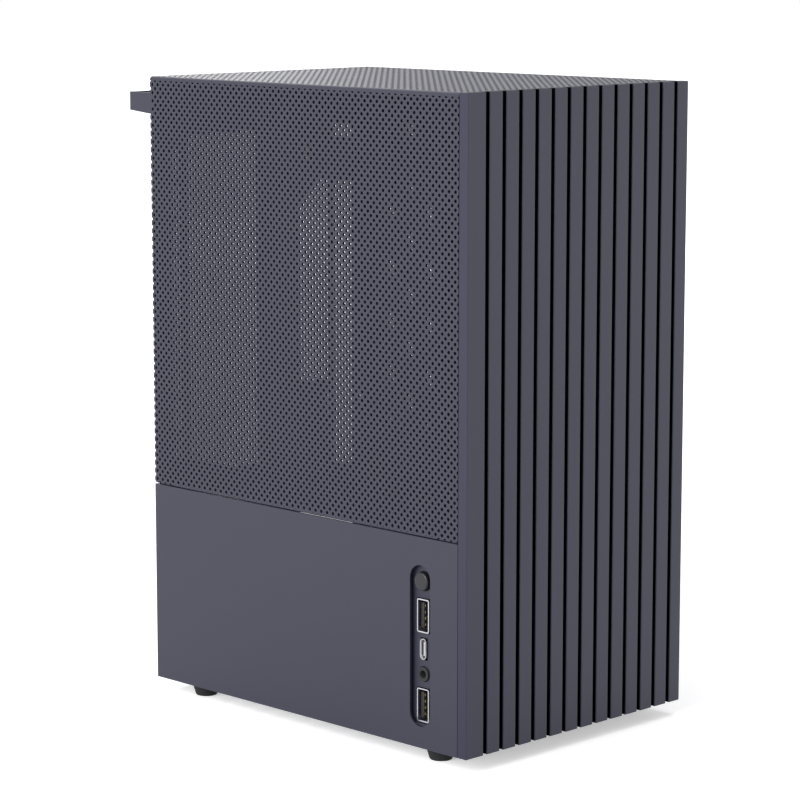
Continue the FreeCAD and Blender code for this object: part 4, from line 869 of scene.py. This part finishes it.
def on_board(name, side, height, size):
    """A part that stands on the board's front face. Side and height are from the board's low corner."""
    wide, deep, tall = size
    low = (board_low.x + side, board_low.y - deep, board_low.z + height)
    return soft_block(name, low, (low[0] + wide, board_low.y, low[2] + tall), min(size) * BLOCK_ROUND)


driver = on_board("board_chip", 7.6 * MM, 45.5 * MM, (4.4 * MM, 1.0 * MM, 4.4 * MM))
header = on_board("board_header", 8.2 * MM, 24.6 * MM, (4.6 * MM, 5.6 * MM, 6.2 * MM))
capacitor = on_board("board_capacitor_0", 10.6 * MM, 51.6 * MM, (1.6 * MM, 0.8 * MM, 0.8 * MM))
hand_over(driver, "chassis", "board_black", finish=chip)
hand_over(header, "chassis", "jack_black")
for piece in row_of(capacitor, "board_capacitor", CAPACITORS, CAPACITOR_STEP):
    hand_over(piece, "chassis", "port_steel")
print("on the board:", driver.name, header.name, "and", CAPACITORS, "capacitors")

# %% [markdown]
# ## One tile of the perforated sheet
# The cover is punched with thousands of round holes in staggered rows. Only one tile is modelled: a
# rectangle with a whole hole in its middle and a quarter of a hole at each corner. Repeated side by
# side, the quarters close into whole holes, and at the sheet's edge they leave the scalloped rim that
# punched sheet has when it is cut through its holes. A picture with transparent dots would be lighter,
# but it has no thickness, and the thickness is what hides the inside at a slant.

# %% One tile
HOLE, HOLE_SIDES = 0.80 * MM, 8  # a hole's radius, and the sides it is drawn with
STRAIGHT = 0.25  # the bevel's profile for a straight cut


def punched_tile(name, across, along):
    """A flat tile about the origin, with one whole hole and a quarter of a hole at each corner."""
    clear_selection()
    bpy.ops.mesh.primitive_plane_add(size=1.0, location=(0.0, 0.0, 0.0))
    piece = bpy.context.object
    piece.name = name
    settle(piece, scale=(across, along, 1.0))
    edit(piece)
    bpy.ops.mesh.select_all(action="SELECT")
    bpy.ops.mesh.bevel(affect="VERTICES", offset=HOLE, segments=HOLE_SIDES // 4, profile=STRAIGHT)
    # The middle of each cut corner moves inwards until it lies on the hole's circle.
    cut_x, cut_y = (across - HOLE) / 2, (along - HOLE) / 2
    mark_vertices(piece, lambda spot: math.hypot(abs(spot.x) - cut_x, abs(spot.y) - cut_y) < HOLE / 4)
    inwards = HOLE * (math.sqrt(0.5) - 0.5)
    bpy.ops.transform.resize(value=(1.0 - inwards / cut_x, 1.0 - inwards / cut_y, 1.0))
    bpy.ops.mesh.select_all(action="SELECT")
    bpy.ops.mesh.delete(type="ONLY_FACE")
    bpy.ops.mesh.primitive_circle_add(vertices=HOLE_SIDES, radius=HOLE, fill_type="NOTHING")
    bpy.ops.mesh.select_all(action="SELECT")
    bpy.ops.mesh.fill(use_beauty=True)
    bpy.ops.mesh.normals_make_consistent(inside=False)
    leave()
    if piece.data.polygons[0].normal.z < 0.0:
        edit(piece)
        bpy.ops.mesh.select_all(action="SELECT")
        bpy.ops.mesh.flip_normals()
        leave()
    return piece


print("tile ready, with holes of", HOLE_SIDES, "sides")

# %% [markdown]
# ## From tile to sheet
# Two Array modifiers lay the tile side by side until it covers the sheet, and weld the seams. The
# tile is stretched by a hair, so that a whole number of them fits. Solidify then gives the sheet the
# thickness of the steel. Cutting thousands of cylinders out of a plate with a boolean would give the
# same holes, but it takes minutes and often fails.

# %% Perforated sheet
PITCH = 3.70 * MM
SHEET = 1.2 * MM
SEAM = 0.02 * MM  # tiles nearer than this are welded


def tiles(length):
    """The number of whole tiles that comes nearest to the holes' pitch."""
    return max(1, round(length / PITCH))


def perforated_sheet(name, wide, tall):
    """A flat punched sheet from the origin along X and Y, as thick as the steel, upwards."""
    columns, rows = tiles(wide), tiles(tall)
    across, along = wide / columns, tall / rows
    piece = punched_tile(name, across, along)
    settle(piece, place=(across / 2, along / 2, 0.0))
    for count, offset in ((columns, (across, 0.0, 0.0)), (rows, (0.0, along, 0.0))):
        apply_modifier(piece, "ARRAY", count=count, use_relative_offset=False, use_constant_offset=True,
                       constant_offset_displace=offset, use_merge_vertices=True, merge_threshold=SEAM)
    apply_modifier(piece, "SOLIDIFY", thickness=SHEET, offset=1.0)
    return piece


BEND = 1.8 * MM
cover_low, cover_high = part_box("mesh_cover")
cover_wide, cover_deep, cover_tall = cover_high - cover_low
print("cover from", [round(value, 4) for value in cover_low],
      "to", [round(value, 4) for value in cover_high])

# %% [markdown]
# ## The cover, fold by fold
# The real cover is one blank: punched flat, then folded over a brake. Modelling it folded needs each
# flat part in its plane: two walls, a roof, a hem turned back inside each lower edge, and the narrow
# returns round the front and rear openings. Where two punched layers lie on each other their holes
# don't line up, which is why the hems look nearly closed.

# %% Walls and roof of the cover
UPRIGHT = (math.radians(90.0), 0.0, math.radians(90.0))


def to_cover(*pieces):
    """Hand sheet metal over to the cover, in place of the measured one."""
    for piece in pieces:
        hand_over(piece, "cover", "black_sheet", "mesh_cover")
        print(piece.name, triangles(piece), "triangles")


wall_left = perforated_sheet("cover_wall_left", cover_deep, cover_tall - BEND)
settle(wall_left, cover_low, UPRIGHT)
wall_right = moved_copy(wall_left, "cover_wall_right", (cover_wide - SHEET, 0.0, 0.0))
roof = perforated_sheet("cover_roof", cover_wide - 2 * BEND, cover_deep)
settle(roof, (cover_low.x + BEND, cover_low.y, cover_high.z - SHEET))
to_cover(wall_left, wall_right, roof)

# %% [markdown]
# ## Bends and folds
# The two long bends are plain strips turned through a quarter circle with the spin tool, and the fold
# at the foot of each wall, which turns the sheet back on itself, is turned through a half. A cylinder
# could be cut down to a quarter, but spinning an edge gives the bend radius directly.

# %% Bends
HEM_TALL, HEM_INSET = 14.0 * MM, 13.0 * MM
FOLD_DROP, FOLD_WALL = 0.62 * MM, 0.85 * SHEET  # how far it hangs below the wall, and how thick
SPIN_STEP = 18.0  # degrees
hem_long = cover_deep - 2 * HEM_INSET


def bend_strip(name, side, radius, wall, middle_z, turn, start, long):
    """A fold of the sheet along Y. It leaves the outer side and turns upwards, or down below zero."""
    middle_x = side * (cover_high.x - radius)
    clear_selection()
    bpy.ops.mesh.primitive_plane_add(size=1.0)
    piece = bpy.context.object
    piece.name = name
    edit(piece)
    bpy.ops.mesh.select_all(action="SELECT")
    bpy.ops.mesh.merge(type="CENTER")
    bpy.ops.mesh.extrude_region_move(TRANSFORM_OT_translate={"value": (0.0, long, 0.0)})
    bpy.ops.mesh.select_all(action="SELECT")
    bpy.ops.transform.translate(value=(side * cover_high.x, start, middle_z))
    bpy.ops.mesh.spin(steps=round(abs(turn) / SPIN_STEP), angle=side * math.radians(turn),
                      center=(middle_x, 0.0, middle_z), axis=(0.0, 1.0, 0.0))
    bpy.ops.mesh.select_all(action="SELECT")
    bpy.ops.mesh.remove_doubles(threshold=MERGE)
    bpy.ops.mesh.normals_make_consistent(inside=False)
    leave()
    face = piece.data.polygons[0]
    outward = face.normal.x * (face.center.x - middle_x) + face.normal.z * (face.center.z - middle_z)
    apply_modifier(piece, "SOLIDIFY", thickness=wall, offset=-1.0 if outward > 0 else 1.0)
    return smooth(piece, angle=30.0)


for word, side in (("left", -1.0), ("right", 1.0)):
    bend = bend_strip(f"cover_bend_{word}", side, radius=BEND, wall=SHEET, middle_z=cover_high.z - BEND,
                      turn=90.0, start=cover_low.y, long=cover_deep)
    fold = bend_strip(f"cover_fold_{word}", side, radius=SHEET, wall=FOLD_WALL,
                      middle_z=cover_low.z - FOLD_DROP + SHEET, turn=-180.0,
                      start=cover_low.y + HEM_INSET, long=hem_long)
    to_cover(bend, fold)

# %% [markdown]
# ## Hems
# Above the fold at the foot of each wall lies the hem, a strip of the same punched sheet one thickness
# inside the wall. It keeps the long edge stiff and safe to the hand. Wall, fold and hem could be bent
# from one mesh, but then the rows of holes would have to be led round the fold.

# %% Hems
hem_left = perforated_sheet("cover_hem_left", hem_long, HEM_TALL)
settle(hem_left, (cover_low.x + SHEET, cover_low.y + HEM_INSET, cover_low.z), UPRIGHT)
hem_right = moved_copy(hem_left, "cover_hem_right", (cover_wide - 3 * SHEET, 0.0, 0.0))
to_cover(hem_left, hem_right)

# %% [markdown]
# ## Returns
# Round its front and rear openings the cover turns inwards by about a centimetre. Each opening has an
# upright return at both sides and one across the top, and a small gap between them, where the blank
# was notched so that it could be folded. Extruding the rims of the walls would be quicker, but it
# would close those corners and leave the returns without holes.

# %% Returns round the front and rear openings
RETURN_TALL, CORNER_GAP = 8.6 * MM, 0.4 * MM
RETURNS = {"front": (8.4 * MM, cover_low.y + SHEET), "rear": (11.2 * MM, cover_high.y)}
FACING = (math.radians(90.0), 0.0, 0.0)
corner = 2 * SHEET + CORNER_GAP
for word, (wide, y) in RETURNS.items():
    upright = perforated_sheet(f"cover_{word}_return_left", wide - SHEET,
                               cover_tall - RETURN_TALL - CORNER_GAP)
    settle(upright, (cover_low.x + SHEET, y, cover_low.z), FACING)
    twin = moved_copy(upright, f"cover_{word}_return_right", (cover_wide - wide - SHEET, 0.0, 0.0))
    top = perforated_sheet(f"cover_{word}_return_top", cover_wide - 2 * corner, RETURN_TALL - SHEET)
    settle(top, (cover_low.x + corner, y, cover_high.z - RETURN_TALL), FACING)
    to_cover(upright, twin, top)

# %% [markdown]
# ## The room
# The studio is a white sweep. What the camera sees of the floor and the background is white because
# their own material says so for camera rays, and not because more light falls on the case. A bright
# white world would be simpler, but it would light the case from all sides and wash its edges out.

# %% Floor and background
WHITE = (1.0, 1.0, 1.0)
FLOOR_WIDE = 14.0
NEAR_GLOW = 0.42  # how white the paper is of itself round the case, where the shadow has to show
FADE_START, FADE_RATE = 0.7, 0.8  # metres from the case, and share per metre
AMBIENT = 0.42  # what the world gives the case, as against 1 for what the camera sees

clear_selection()
bpy.ops.mesh.primitive_plane_add(size=FLOOR_WIDE, location=(0.0, 0.0, 0.0))
floor = bpy.context.object
floor.name = "studio_floor"
paper = new_finish("studio_paper")
away = paper.add("ShaderNodeVectorMath", {"operation": "LENGTH"}, {0: paper.place()}, "Value")
far = ((away - FADE_START) * FADE_RATE).at_least(0.0).up_to(1.0)
matt = paper.add("ShaderNodeBsdfDiffuse", None, {"Color": (0.86, 0.86, 0.87), "Roughness": 0.5})
glow = paper.add("ShaderNodeEmission", None,
                 {"Color": WHITE, "Strength": paper.seen() * (NEAR_GLOW + far * (1.0 - NEAR_GLOW))})
paper.add_output(paper.add("ShaderNodeAddShader", None, {0: matt, 1: glow}))
floor.data.materials.append(paper.owner)

world = bpy.data.worlds.new("studio_world")
bpy.context.scene.world = world
sky = Finish(world)
strength = (AMBIENT + sky.seen() * (1.0 - AMBIENT)).up_to(1.0)
sky.add_output(sky.add("ShaderNodeBackground", None, {"Color": WHITE, "Strength": strength}),
               "ShaderNodeOutputWorld")
print("white room ready")

# %% [markdown]
# ## Soft lamps
# Dark metal is lit with large diffusers, because a small lamp only leaves a hard spot on it. An area
# lamp is such a diffuser. A broad one stands to the left, a weak one hangs overhead, and low fills
# stand at the front, the rear and the right, so that the left side of the case is the brighter one and
# no side is lost. A picture of a real studio wrapped round the scene would be quicker, but then no
# side could be made brighter on its own.

# %% Lamps
def soft_lamp(name, place, wide, watts, aim=(0.0, 0.0, 0.15)):
    data = bpy.data.lights.new(name, "AREA")
    data.shape = "SQUARE"
    data.size = wide
    data.energy = watts
    lamp = bpy.data.objects.new(name, data)
    lamp.location = place
    lamp.rotation_euler = (Vector(aim) - Vector(place)).to_track_quat("-Z", "Y").to_euler()
    bpy.context.scene.collection.objects.link(lamp)


soft_lamp("key_left", (-1.9, 0.05, 0.9), wide=1.5, watts=42.0)
soft_lamp("overhead", (0.1, 0.2, 1.9), wide=1.4, watts=16.0, aim=(0.0, 0.0, 0.1))
soft_lamp("front_fill", (1.1, -1.9, 0.5), wide=1.2, watts=7.0)
soft_lamp("rear_fill", (0.9, 1.9, 0.7), wide=1.3, watts=14.0)
soft_lamp("right_fill", (2.0, 0.4, 0.6), wide=1.3, watts=12.0)
print("five lamps")
